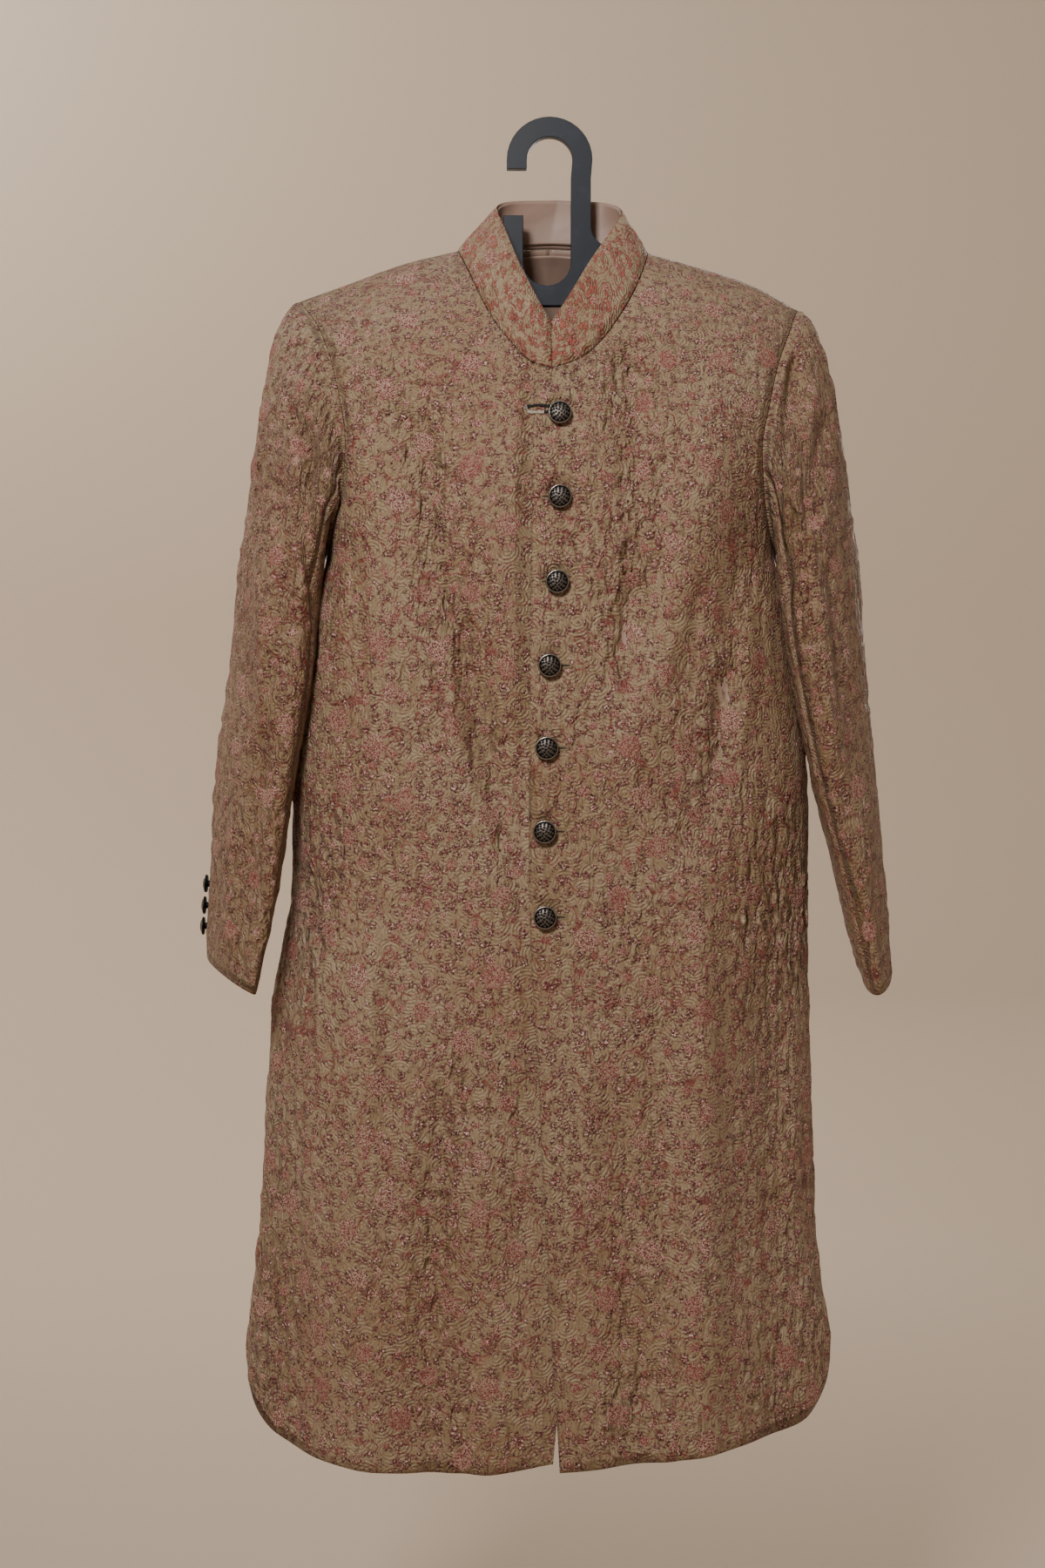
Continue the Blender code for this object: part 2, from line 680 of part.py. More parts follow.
def place(name, mesh, surface, collection):
    """New object in the coat's collection."""
    made = bpy.data.objects.new(name, mesh)
    mesh.materials.append(material(surface))
    collection.objects.link(made)
    return made


def inset(outer, inner, amount, edges):
    """Moves the named edges of a grid and of its inner face towards their neighbours."""
    lines = {"first": (0, 1, 0), "last": (-1, -2, 0), "low": (0, 1, 1), "high": (-1, -2, 1)}
    for edge in edges:
        line, beside, axis = lines[edge]
        grid = np.swapaxes(outer, 0, 1) if axis == 0 else outer
        back = np.swapaxes(inner, 0, 1) if axis == 0 else inner
        shift = unit(grid[beside] - grid[line]) * amount
        grid[line] += shift
        back[line] += shift


def wall(name, outer, inner, surface, collection, keep=None):
    """Closed wall between an outer and an inner grid; keep marks the cells that are cloth."""
    rows, columns = outer.shape[:2]
    if keep is None:
        keep = np.ones((rows - 1, columns - 1), bool)
    shell = bmesh.new()
    faces = []
    for grid in (outer, inner):
        faces.append([[shell.verts.new(point * MM) for point in row] for row in grid])
    front, back = faces
    for i in range(rows - 1):
        for j in range(columns - 1):
            if not keep[i, j]:
                continue
            corners = ((i, j), (i, j + 1), (i + 1, j + 1), (i + 1, j))
            shell.faces.new([front[a][b] for a, b in corners])
            shell.faces.new([back[a][b] for a, b in (corners[0], corners[3], corners[2], corners[1])])
            beside = ((i - 1, j), (i, j + 1), (i + 1, j), (i, j - 1))
            for side, (a, b) in enumerate(beside):
                if 0 <= a < rows - 1 and 0 <= b < columns - 1 and keep[a, b]:
                    continue
                start, end = corners[side], corners[(side + 1) % 4]
                rim = (front[start[0]][start[1]], back[start[0]][start[1]])
                rim += (back[end[0]][end[1]], front[end[0]][end[1]])
                shell.faces.new(rim)
    bmesh.ops.delete(shell, geom=[v for v in shell.verts if not v.link_faces], context="VERTS")
    bmesh.ops.recalc_face_normals(shell, faces=shell.faces)
    mesh = bpy.data.meshes.new(name)
    shell.to_mesh(mesh)
    shell.free()
    mesh.shade_smooth()
    mesh.set_sharp_from_angle(angle=math.radians(40))
    return place(name, mesh, surface, collection)


def front_rows(side):
    """Rows of a front: its neckline rows are those of the collar's foot."""
    start = -NECK_START if side > 0 else NECK_START
    shares = [share for share in (start, *NECK_SHARES) if share >= start]
    shares = sorted(set(shares))
    top = [NECK_ROW + (1 - NECK_ROW) * (share - start) / (1 - start) for share in shares]
    return np.array([*LOW_ROWS, *CHEST_ROWS, *top])


def make_front(side, collection):
    """One front, from hem to shoulder; the wearer's right one carries on under the lap."""
    columns = np.array(FRONT_SHARES)
    if side < 0:
        columns = np.array([*STRIP_SHARES, 0, LAP_SHARE, *FRONT_SHARES[2:]])
    rows = front_rows(side)
    across, row = np.meshgrid(columns, rows)
    outer = front_point(side, across, row)
    out = normals(lambda a, r: front_point(side, a, r), np.maximum(across, 0), row, side)
    strip_out = torso_out(outer[..., 0], outer[..., 2], -1)
    out = np.where(((across <= 0) & (row < 1))[..., None], strip_out, out)
    inner = outer - out * WALL
    keep = np.ones((len(rows) - 1, len(columns) - 1), bool)
    keep[np.ix_(rows[:-1] > NECK_ROW - 0.001, columns[:-1] < 0)] = False
    inset(outer, inner, SEAM_GAP / 2, ("last", "high"))
    return wall("front_" + side_name(side), outer, inner, "silk", collection, keep)


def back_layer(side, shares, rows, depth):
    """Grid of a back panel's points, depth inside its outer face."""
    across, row = np.meshgrid(np.array(shares), np.array(rows))
    points = back_point(side, across, row)
    out = normals(lambda a, r: back_point(side, a, r), across, row, -side)
    neck_out = torso_out(points[..., 0], points[..., 2], 1)
    out = np.where((np.isclose(row, 1) & (across < BACK_NECK_SHARE))[..., None], neck_out, out)
    return points - out * depth


def make_back(side, collection):
    """One back panel, from hem to shoulder."""
    rows = (*LOW_ROWS, *BACK_ROWS)
    outer = back_layer(side, BACK_SHARES, rows, 0)
    inner = back_layer(side, BACK_SHARES, rows, WALL)
    inset(outer, inner, SEAM_GAP / 2, ("first", "last", "high"))
    return wall("back_" + side_name(side), outer, inner, "silk", collection)


def armhole_angles(side):
    """Angles round the arm at which the fronts and backs have points along the armhole."""
    rows, shares = armhole_lengths(side)
    front = [row for row in front_rows(side) if row >= UNDERARM_ROW]
    back = (UNDERARM_ROW, *BACK_ROWS)
    angles = [180 * (1 - np.interp(row, rows, shares[-1])) for row in front[::-1]]
    angles += [180 + 180 * np.interp(row, rows, shares[1]) for row in back[1:-1]]
    return np.array(angles)


def make_sleeve(side, piece, collection):
    """The wide top piece or the narrow under piece of a sleeve."""
    angles = armhole_angles(side)
    front_seam = int(np.argmin(np.abs(angles - FRONT_SEAM_ANGLE)))
    back_seam = int(np.argmin(np.abs(angles - BACK_SEAM_ANGLE)))
    if piece == "top":
        angles = np.concatenate([angles[back_seam:] - 360, angles[:front_seam + 1]])
    else:
        angles = angles[front_seam:back_seam + 1]
    angle, share = np.meshgrid(angles, np.array(SLEEVE_ROWS))
    outer, out = sleeve_frame(side, angle, share)
    inner = outer - out * WALL
    inset(outer, inner, SEAM_GAP / 2, ("first", "last"))
    return wall(f"sleeve_{piece}_{side_name(side)}", outer, inner, "silk", collection)


def collar_strip(depth, ups):
    """Grid of a collar layer from the right front edge round the back to the left one."""
    front = [COLLAR_SHOULDER * share for share in NECK_SHARES]
    behind = [share / BACK_NECK_SHARE for share in BACK_SHARES if share < BACK_NECK_SHARE]
    back = [1 - (1 - COLLAR_SHOULDER) * share for share in behind]
    columns = np.array(front + back[::-1])
    halves = []
    for side, shares in ((-1, columns), (1, columns[::-1][1:])):
        share, up = np.meshgrid(shares, np.array(ups))
        points, out = collar_frame(side, share, up)
        halves.append(points - out * depth)
    return np.concatenate(halves, axis=1)


def make_collar(collection):
    """Embroidered band collar and the satin inside it, whose rows are the collar's own inner rows."""
    outer, inner = collar_strip(0, COLLAR_UPS), collar_strip(WALL, COLLAR_UPS)
    inset(outer, inner, COLLAR_END_GAP, ("first", "last"))
    wall("collar", outer, inner, "silk", collection)
    ups = COLLAR_UPS[1:-1]
    depth = WALL + SEAM_GAP
    inner = collar_strip(depth + LINING_WALL, ups)
    wall("collar_lining", collar_strip(depth, ups), inner, "satin", collection)


def make_neck_lining(collection):
    """Satin inside the back of the neck, seen through the collar's opening."""
    shares = BACK_SHARES[:LINING_COLUMNS + 1]
    rows = BACK_ROWS[LINING_ROWS]
    layers = []
    for depth in (WALL + NECK_LINING_GAP, WALL + NECK_LINING_GAP + LINING_WALL):
        right = back_layer(-1, shares, rows, depth)
        left = back_layer(1, shares, rows, depth)
        middle = (right[:, :1] + left[:, :1]) / 2
        layers.append(np.concatenate([right[:, :0:-1], middle, left[:, 1:]], axis=1))
    wall("back_neck_lining", *layers, "satin", collection)


def turned(name, profile, steps, surface, collection):
    """Closed turned body from a profile of radius and height in millimetres, top to bottom."""
    mesh = bpy.data.meshes.new(name)
    points = [(radius * MM, 0, height * MM) for radius, height in profile]
    mesh.from_pydata(points, [(i, i + 1) for i in range(len(points) - 1)], [])
    made = place(name, mesh, surface, collection)
    screw = made.modifiers.new("turn", "SCREW")
    screw.steps = steps
    screw.render_steps = steps
    screw.use_merge_vertices = True
    screw.merge_threshold = 0.0001 * 0.1
    screw.use_smooth_shade = True
    return made


def button_profile(radius, height):
    """Domed cap with a raised rim on a short shank, from the crown down."""
    return (
        (0, height),
        (0.45 * radius, 0.95 * height),
        (0.76 * radius, 0.78 * height),
        (0.84 * radius, 0.68 * height),
        (0.95 * radius, 0.68 * height),
        (radius, 0.52 * height),
        (0.94 * radius, 0.36 * height),
        (SHANK * radius, 0.30 * height),
        (SHANK * radius, 0),
        (0, 0),
    )


def seat(made, cloth, point, out, foot_radius):
    """Stands an object's +Z along out, with its foot just clear of the cloth's mesh at the point."""
    cloth.data.calc_loop_triangles()
    faces = [face.vertices for face in cloth.data.loop_triangles]
    tree = BVHTree.FromPolygons([v.co for v in cloth.data.vertices], faces)
    turn = Vector(out).to_track_quat("Z", "Y").to_matrix().to_4x4()
    heights = []
    for step in range(2 * FOOT_PROBES):
        around = 2 * math.pi * step / FOOT_PROBES
        reach = foot_radius * (1 - step // FOOT_PROBES / 2)
        aside = turn @ Vector((math.cos(around), math.sin(around), 0)) * reach
        start = Vector(point) + aside + Vector(out) * PROBE_START
        _, _, _, fall = tree.ray_cast(start * MM, -Vector(out))
        heights.append(PROBE_START - fall / MM)
    foot = Vector(point) + Vector(out) * (max(heights) + BUTTON_SEAT)
    made.matrix_world = Matrix.Translation(foot * MM) @ turn


def make_buttons(collection):
    """Seven front buttons on the lap and three on the back edge of each cuff."""
    profile = button_profile(BUTTON_RADIUS, BUTTON_HEIGHT)
    for number, row in enumerate(FRONT_BUTTONS, 1):
        made = turned(f"front_button_{number}", profile, BUTTON_STEPS, "metal", collection)
        x, z = np.array(float(row["x"])), np.array(float(row["z"]))
        cloth = collection.objects["front_left"]
        seat(made, cloth, torso(x, z, -1), torso_out(x, z, -1), SHANK * BUTTON_RADIUS)
    profile = button_profile(CUFF_BUTTON_RADIUS, CUFF_BUTTON_HEIGHT)
    for side in (-1, 1):
        for number, drop in enumerate(CUFF_BUTTON_DROPS, 1):
            name = f"cuff_button_{side_name(side)}_{number}"
            made = turned(name, profile, CUFF_BUTTON_STEPS, "metal", collection)
            top_z, low_z = SLEEVES[-1]["z"], SLEEVES[0]["z"]
            share = CAP_END + (1 - CAP_END) * (drop - top_z) / (low_z - top_z)
            point, out = sleeve_frame(side, np.array(CUFF_BUTTON_ANGLE), np.array(share))
            cloth = collection.objects["sleeve_top_" + side_name(side)]
            seat(made, cloth, point, out, SHANK * CUFF_BUTTON_RADIUS)


def arc(centre_x, centre_z, radius, start, end, steps):
    """Points of an arc in degrees, ends included."""
    turns = [math.radians(start + (end - start) * i / steps) for i in range(steps + 1)]
    return [(centre_x + radius * math.cos(turn), centre_z + radius * math.sin(turn)) for turn in turns]


def arm_top(x):
    """Top edge of a hanger arm, just under the cloth that hangs on it."""
    near_neck = 1 - ease(92, 112, abs(x))
    return float(along(RIDGE, "x", "z", float(x)) - ARM_SEAT - NECK_SEAT * near_neck)


def hanger_outline():
    """Outline of the hanger in the plane of the shoulders, as x and z."""
    fillet = 20.0
    left_fillet = 18.0
    cut_radius = (STEM_INNER - PRONG_RIGHT) / 2
    cut_x = (STEM_INNER + PRONG_RIGHT) / 2
    points = [(-HOOK_OUTER, HOOK_TIP)]
    points += arc(0, -HOOK_INNER, HOOK_OUTER, 180, 0, 18)
    points += [(STEM_OUTER, -40)]
    points += arc(STEM_OUTER + fillet, arm_top(STEM_OUTER + fillet) + fillet, fillet, 180, 270, 5)
    points += [(x, arm_top(x)) for x in (80, 110, 140, 170, 190)]
    points += [(ARM_REACH, arm_top(ARM_REACH) - 5), (ARM_REACH, arm_top(ARM_REACH) - 13)]
    points += [(x, z) for x, z in ((192, -167), (150, -158), (110, -152), (75, -152), (45, WEB_BOTTOM + 3))]
    points += [(28, WEB_BOTTOM), (-28, WEB_BOTTOM)]
    points += [(-x, z) for x, z in ((45, WEB_BOTTOM + 3), (75, -152), (110, -150), (150, -154), (192, -163))]
    points += [(-ARM_REACH, arm_top(-ARM_REACH) - 13), (-ARM_REACH, arm_top(-ARM_REACH) - 5)]
    points += [(-x, arm_top(-x)) for x in (190, 170, 140, 110, 80)]
    start = PRONG_LEFT - left_fillet
    points += arc(start, arm_top(start) + left_fillet, left_fillet, 270, 360, 5)
    points += [(PRONG_LEFT, PRONG_TOP), (PRONG_RIGHT, PRONG_TOP)]
    points += arc(cut_x, CUTOUT_BOTTOM + cut_radius, cut_radius, 180, 360, 12)
    points += [(STEM_INNER, -40)]
    points += arc(0, -HOOK_INNER, HOOK_INNER, 0, 180, 14)
    points += [(-HOOK_INNER, HOOK_TIP)]
    return points


def make_hanger(collection):
    """One flat moulding: hook, stem, cut-out web and two arms, with its edges rounded."""
    curve = bpy.data.curves.new("hanger_outline", "CURVE")
    curve.dimensions = "2D"
    curve.fill_mode = "BOTH"
    curve.extrude = HANGER_THICKNESS / 2 * MM
    outline = hanger_outline()
    spline = curve.splines.new("POLY")
    spline.points.add(len(outline) - 1)
    for point, (x, z) in zip(spline.points, outline):
        point.co = (x * MM, z * MM, 0, 1)
    spline.use_cyclic_u = True
    flat = bpy.data.objects.new("hanger_outline", curve)
    collection.objects.link(flat)
    bpy.context.view_layer.update()
    mesh = bpy.data.meshes.new_from_object(flat.evaluated_get(bpy.context.evaluated_depsgraph_get()))
    bpy.data.objects.remove(flat)
    shape = bmesh.new()
    shape.from_mesh(mesh)
    bmesh.ops.remove_doubles(shape, verts=shape.verts, dist=0.01 * MM)
    bmesh.ops.rotate(shape, verts=shape.verts, matrix=Matrix.Rotation(math.radians(90), 3, "X"))
    bmesh.ops.recalc_face_normals(shape, faces=shape.faces)
    shape.to_mesh(mesh)
    shape.free()
    made = place("hanger", mesh, "plastic", collection)
    rounded = made.modifiers.new("rounded edges", "BEVEL")
    rounded.width = HANGER_EDGE * MM
    rounded.segments = 2
    rounded.limit_method = "ANGLE"
    rounded.angle_limit = math.radians(40)
    return made


def main():
    for old in list(bpy.data.objects):
        bpy.data.objects.remove(old, do_unlink=True)
    coat = bpy.data.collections.new("sherwani_coat_on_hanger")
    bpy.context.scene.collection.children.link(coat)
    for side in (1, -1):
        make_front(side, coat)
        make_back(side, coat)
        make_sleeve(side, "top", coat)
        make_sleeve(side, "under", coat)
    make_collar(coat)
    make_neck_lining(coat)
    make_buttons(coat)
    make_hanger(coat)


main()
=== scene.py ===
# %% [markdown]
# # Sherwani coat on a hanger
#
# A knee-length coat with a stand collar hangs empty on a flat plastic hanger. Its silk is embroidered all
# over with small thread flowers, and seven dark domed buttons close the front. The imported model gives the
# frame: every piece made here lies on one of its nodes, in metres, with +Z up and the coat's front towards
# -Y.

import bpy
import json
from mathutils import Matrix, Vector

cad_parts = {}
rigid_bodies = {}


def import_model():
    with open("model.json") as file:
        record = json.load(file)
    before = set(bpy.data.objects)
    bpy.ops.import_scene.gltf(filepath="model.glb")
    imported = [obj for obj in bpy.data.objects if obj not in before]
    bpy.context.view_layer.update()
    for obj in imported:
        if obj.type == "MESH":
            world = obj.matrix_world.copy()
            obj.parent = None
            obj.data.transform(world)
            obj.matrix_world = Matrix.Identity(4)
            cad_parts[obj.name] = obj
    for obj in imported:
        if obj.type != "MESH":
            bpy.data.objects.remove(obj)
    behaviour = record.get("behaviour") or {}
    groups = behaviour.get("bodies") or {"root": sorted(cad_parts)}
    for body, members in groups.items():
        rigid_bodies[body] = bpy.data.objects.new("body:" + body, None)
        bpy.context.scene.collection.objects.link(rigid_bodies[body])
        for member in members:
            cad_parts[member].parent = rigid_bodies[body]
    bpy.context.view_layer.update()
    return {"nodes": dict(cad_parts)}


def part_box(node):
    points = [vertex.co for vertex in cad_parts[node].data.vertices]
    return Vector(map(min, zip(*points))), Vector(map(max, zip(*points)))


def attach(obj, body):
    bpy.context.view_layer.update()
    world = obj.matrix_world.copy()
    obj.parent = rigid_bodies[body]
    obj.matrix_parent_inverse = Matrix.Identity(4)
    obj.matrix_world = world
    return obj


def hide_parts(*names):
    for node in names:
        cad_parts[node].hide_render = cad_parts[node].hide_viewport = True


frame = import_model()
print("nodes in the frame:", len(frame["nodes"]))

# %% Modules
import json
import math

import bmesh
import bpy
import numpy as np
from mathutils import Matrix, Vector
from mathutils.bvhtree import BVHTree

MM = 0.001
scene = bpy.context.scene

# %% [markdown]
# ## The camera and the studio
#
# The camera looks level and straight on at the middle of the coat, from over two metres away, so that the
# sides of a hanging coat stay upright. The studio is one turned bowl: a flat pale floor that sweeps up into
# a low wall all round, so that every view has a plain backdrop. The bowl is a profile turned by a Screw
# modifier, which is the shortest way to a smooth round sweep.

# %% Camera
def placed(name, data):
    """New object in the scene for a mesh, a light or a camera."""
    made = bpy.data.objects.new(name, data)
    scene.collection.objects.link(made)
    return made


lens = bpy.data.cameras.new("camera")
lens.lens = 50
lens.sensor_width = 36
camera = placed("camera", lens)
camera.location = (-0.0262, -2.11, -0.626)
camera.rotation_euler = (math.radians(90), 0, 0)
scene.camera = camera
print("camera at", tuple(round(value, 3) for value in camera.location))


# %% Materials start from one helper
def surface(name, colour, roughness, metallic=0.0):
    """New material and its shader node, with the plain values set on the shader's own sockets."""
    made = bpy.data.materials.new(name)
    made.use_nodes = True
    shader = made.node_tree.nodes["Principled BSDF"]
    shader.inputs["Base Color"].default_value = (*colour, 1)
    shader.inputs["Roughness"].default_value = roughness
    shader.inputs["Metallic"].default_value = metallic
    made.diffuse_color = (*colour, 1)
    return made, shader


# %% Studio bowl and lights
FLOOR_Z = -1.62
FLOOR_RADIUS = 2.9
WALL_RADIUS = 4.4
WALL_TOP = 2.4
SWEEP_STEPS = 16
BOWL_STEPS = 96
BACKDROP = (0.520, 0.425, 0.330)


def studio_bowl():
    """Floor that sweeps up into a wall all round."""
    profile = [(0, FLOOR_Z), (FLOOR_RADIUS, FLOOR_Z)]
    sweep = WALL_RADIUS - FLOOR_RADIUS
    for step in range(1, SWEEP_STEPS + 1):
        turn = math.radians(90 * step / SWEEP_STEPS)
        profile.append((FLOOR_RADIUS + sweep * math.sin(turn), FLOOR_Z + sweep * (1 - math.cos(turn))))
    profile.append((WALL_RADIUS, WALL_TOP))
    mesh = bpy.data.meshes.new("studio_bowl")
    mesh.from_pydata([(r, 0, z) for r, z in profile], [(i, i + 1) for i in range(len(profile) - 1)], [])
    bowl = placed("studio_bowl", mesh)
    screw = bowl.modifiers.new("turn", "SCREW")
    screw.steps = BOWL_STEPS
    screw.render_steps = BOWL_STEPS
    screw.use_merge_vertices = True
    screw.use_smooth_shade = True
    mesh.materials.append(surface("backdrop", BACKDROP, 0.9)[0])
    return bowl


def soft_light(name, place, aim, size, power, colour):
    """Rectangular light at a place, turned to aim at a point."""
    lamp = bpy.data.lights.new(name, "AREA")
    lamp.shape = "RECTANGLE"
    lamp.size, lamp.size_y = size
    lamp.energy = power
    lamp.color = colour
    light = placed(name, lamp)
    light.location = place
    light.rotation_euler = (Vector(aim) - Vector(place)).to_track_quat("-Z", "Y").to_euler()
    light.visible_camera = False


studio_bowl()
soft_light("key", (-0.75, -2.3, 0.95), (0, 0, -0.5), (0.6, 0.7), 65, (1.0, 0.965, 0.92))
soft_light("top", (0, 0.3, 2.3), (0, 0, -0.6), (2.0, 2.0), 16, (1.0, 0.97, 0.94))
soft_light("rear", (0.8, 3.2, 0.6), (0, 0, -0.6), (2.0, 2.0), 30, (1.0, 0.97, 0.94))
soft_light("side", (2.9, 0.4, 0.2), (0, 0, -0.6), (1.6, 1.6), 9, (1.0, 0.95, 0.90))
soft_light("wall wash", (-2.9, 1.6, 2.2), (-1.6, 4.3, 1.4), (0.8, 0.8), 190, (1.0, 0.96, 0.92))
world = bpy.data.worlds.new("studio air")
world.use_nodes = True
world.node_tree.nodes["Background"].inputs["Color"].default_value = (0.86, 0.78, 0.70, 1)
world.node_tree.nodes["Background"].inputs["Strength"].default_value = 0.22
scene.world = world
print("studio ready")


# %% [markdown]
# ## One smooth form for the whole coat
#
# The coat's form is a surface that a function gives: how far the cloth stands in front of or behind the
# shoulders at each width and height. It comes from level sections, the ridge of the shoulders and a few
# long folds, each a row in a short table of millimetres. Panels are then parts of this one surface, so that
# their seams always meet.

# %% Curves and tables
def table(columns, *rows):
    """Rows of numbers as dictionaries with the named columns."""
    names = columns.split()
    return [dict(zip(names, row)) for row in rows]


def along(rows, key, column, at):
    """Value of a column where the key equals at: a smooth curve through the rows, with no overshoot."""
    knots = np.array([row[key] for row in rows], float)
    values = np.array([row[column] for row in rows], float)
    span = np.diff(knots)
    slope = np.diff(values) / span
    product = slope[:-1] * slope[1:]
    total = slope[:-1] + slope[1:]
    level = np.where(product > 0, 2 * product / np.where(total == 0, 1, total), 0)
    tangent = np.concatenate([slope[:1], level, slope[-1:]])
    at = np.clip(at, knots[0], knots[-1])
    low = np.clip(np.searchsorted(knots, at) - 1, 0, len(span) - 1)
    t = (at - knots[low]) / span[low]
    rise = values[low + 1] - values[low]
    bend = tangent[low] * span[low] * t * (1 - t) ** 2 - tangent[low + 1] * span[low] * t * t * (1 - t)
    return values[low] + rise * t * t * (3 - 2 * t) + bend


def ease(low, high, value):
    """0 below low, 1 above high and smooth between."""
    t = np.clip((value - low) / (high - low), 0, 1)
    return t * t * (3 - 2 * t)


def unit(vectors):
    """Vectors scaled to length 1."""
    return vectors / np.maximum(np.linalg.norm(vectors, axis=-1, keepdims=True), 1e-12)


def stack(x, y, z):
    """Points from coordinate arrays of one shape."""
    return np.stack(np.broadcast_arrays(x, y, z), axis=-1).astype(float)


# %% Level sections and the ridge of the shoulders
ROUNDNESS = 2.4
FRONT_FALL = 270.0
BACK_FALL = 220.0
SHOULDER_EASE = 0.68

SECTIONS = table(
    "z      right  left  front  back",
    (-1290, 293, 272, 121, 110),
    (-1160, 292, 271, 120, 109),
    (-1110, 287, 264, 118, 107),
    (-1050, 280, 257, 115, 104),
    (-920, 273, 253, 110, 98),
    (-837, 268, 250, 107, 95),
    (-710, 248, 250, 104, 92),
    (-626, 248, 249, 104, 92),
    (-520, 236, 236, 106, 95),
    (-450, 227, 225, 108, 97),
    (-425, 220, 220, 109, 98),
    (-405, 214, 216, 110, 99),
    (-350, 218, 223, 110, 100),
    (-304, 234, 240, 110, 100),
    (-262, 250, 256, 110, 100),
    (-222, 258, 265, 110, 100),
    (-190, 267, 276, 110, 100),
    (-158, 288, 292, 110, 100),
    (-60, 330, 330, 110, 100),
)

RIDGE = table(
    "x     z",
    (-330, -190),
    (-242, -158),
    (-195, -141),
    (-136, -120),
    (-90, -109),
    (0, -84),
    (96, -111),
    (193, -141),
    (240, -166),
    (330, -215),
)
print("section rows:", len(SECTIONS))


# %% [markdown]
# ## The long folds
#
# A heavy coat on a narrow hanger breaks into long soft folds that start at the shoulders and run into the
# skirt. Each is a ridge or a trough: a straight run with a little sideways bow, a width and a height, faded
# out at both ends. The hidden back gets folds of the same kind. The shorter creases that only the finished
# cloth has follow in a table of their own.

# %% Folds and creases
FOLD_GAIN = 1.3
FOLD_FADE = 0.22
FRONT_FOLDS = table(
    "top_x  top_z  low_x  low_z  bow  width  height",
    (-132, -215, -24, -720, -8, 22, -11),
    (-172, -260, -150, -700, -6, 27, 6),
    (-48, -270, -36, -600, 2, 20, 5),
    (52, -170, 62, -560, 22, 22, -9),
    (165, -200, 44, -680, 22, 30, 8),
    (196, -340, 128, -720, 0, 17, -6),
    (132, -660, 136, -1400, 4, 24, 7),
    (-168, -690, -176, -1400, 4, 26, 7),
    (-92, -820, -108, -1400, -6, 19, -7),
    (-66, -900, -60, -1400, 4, 17, 4),
    (60, -860, 70, -1400, 6, 22, -5),
    (-236, -860, -250, -1400, 0, 20, -5),
    (206, -760, 214, -1400, -4, 20, -5),
)
BACK_FOLDS = table(
    "top_x  top_z  low_x  low_z  bow  width  height",
    (-118, -180, -36, -640, -8, 24, -8),
    (104, -190, 40, -600, 10, 22, -7),
    (168, -240, 150, -690, 6, 26, 6),
    (-166, -250, -158, -720, -4, 26, 6),
    (-148, -640, -170, -1420, 4, 26, 8),
    (-84, -760, -98, -1420, -6, 20, -7),
    (58, -700, 74, -1420, 6, 24, 6),
    (124, -720, 146, -1420, 4, 20, -8),
    (196, -780, 212, -1420, 0, 22, 6),
    (-226, -840, -240, -1420, 0, 20, -6),
)
FRONT_CREASES = table(
    "top_x  top_z  low_x  low_z  bow  width  height",
    (-150, -205, -128, -330, -4, 11, -4.3),
    (-104, -250, -78, -420, 3, 10, 3.5),
    (-120, -390, -96, -560, -5, 9, -4.6),
    (-84, -440, -66, -640, 3, 8, -4.1),
    (-100, -520, -82, -660, 4, 7, 2.9),
    (-60, -560, -34, -742, -3, 9, -4.3),
    (-40, -640, -30, -770, 2, 6, -2.9),
    (12, -262, 44, -216, -2, 6, -3.2),
    (66, -210, 84, -330, 5, 9, -4.1),
    (84, -280, 92, -430, 4, 8, 2.9),
    (108, -300, 92, -470, -4, 9, -3.8),
    (78, -420, 62, -590, -4, 8, -3.2),
    (76, -604, 134, -690, 6, 8, -3.8),
    (60, -640, 128, -742, 8, 9, 3.2),
    (146, -420, 122, -560, -4, 10, -4.3),
    (168, -500, 150, -690, -3, 9, -4.6),
    (186, -430, 176, -620, 2, 8, 3.5),
    (-190, -380, -176, -560, 4, 9, -3.8),
    (-204, -600, -196, -760, -2, 10, -4.1),
    (-148, -760, -158, -980, 4, 11, -4.3),
    (-214, -860, -224, -1100, -3, 12, 3.8),
    (-130, -900, -138, -1180, 3, 11, 4.1),
    (-30, -880, -26, -1120, -4, 12, -3.5),
    (28, -820, 36, -1060, 4, 12, 3.5),
    (98, -800, 104, -1080, -3, 11, -4.1),
    (166, -880, 176, -1160, 3, 12, -4.3),
    (232, -820, 236, -1120, -2, 11, 3.8),
    (-76, -1080, -84, -1330, 3, 13, -3.5),
    (214, -600, 234, -1300, 0, 44, -13.0),
    (140, -640, 150, -1300, 0, 22, 5.0),
    (-246, -620, -262, -1330, 0, 34, -12.0),
    (-190, -760, -200, -1300, 0, 22, 4.0),
    (112, -1100, 108, -1330, -3, 12, 3.2),
)
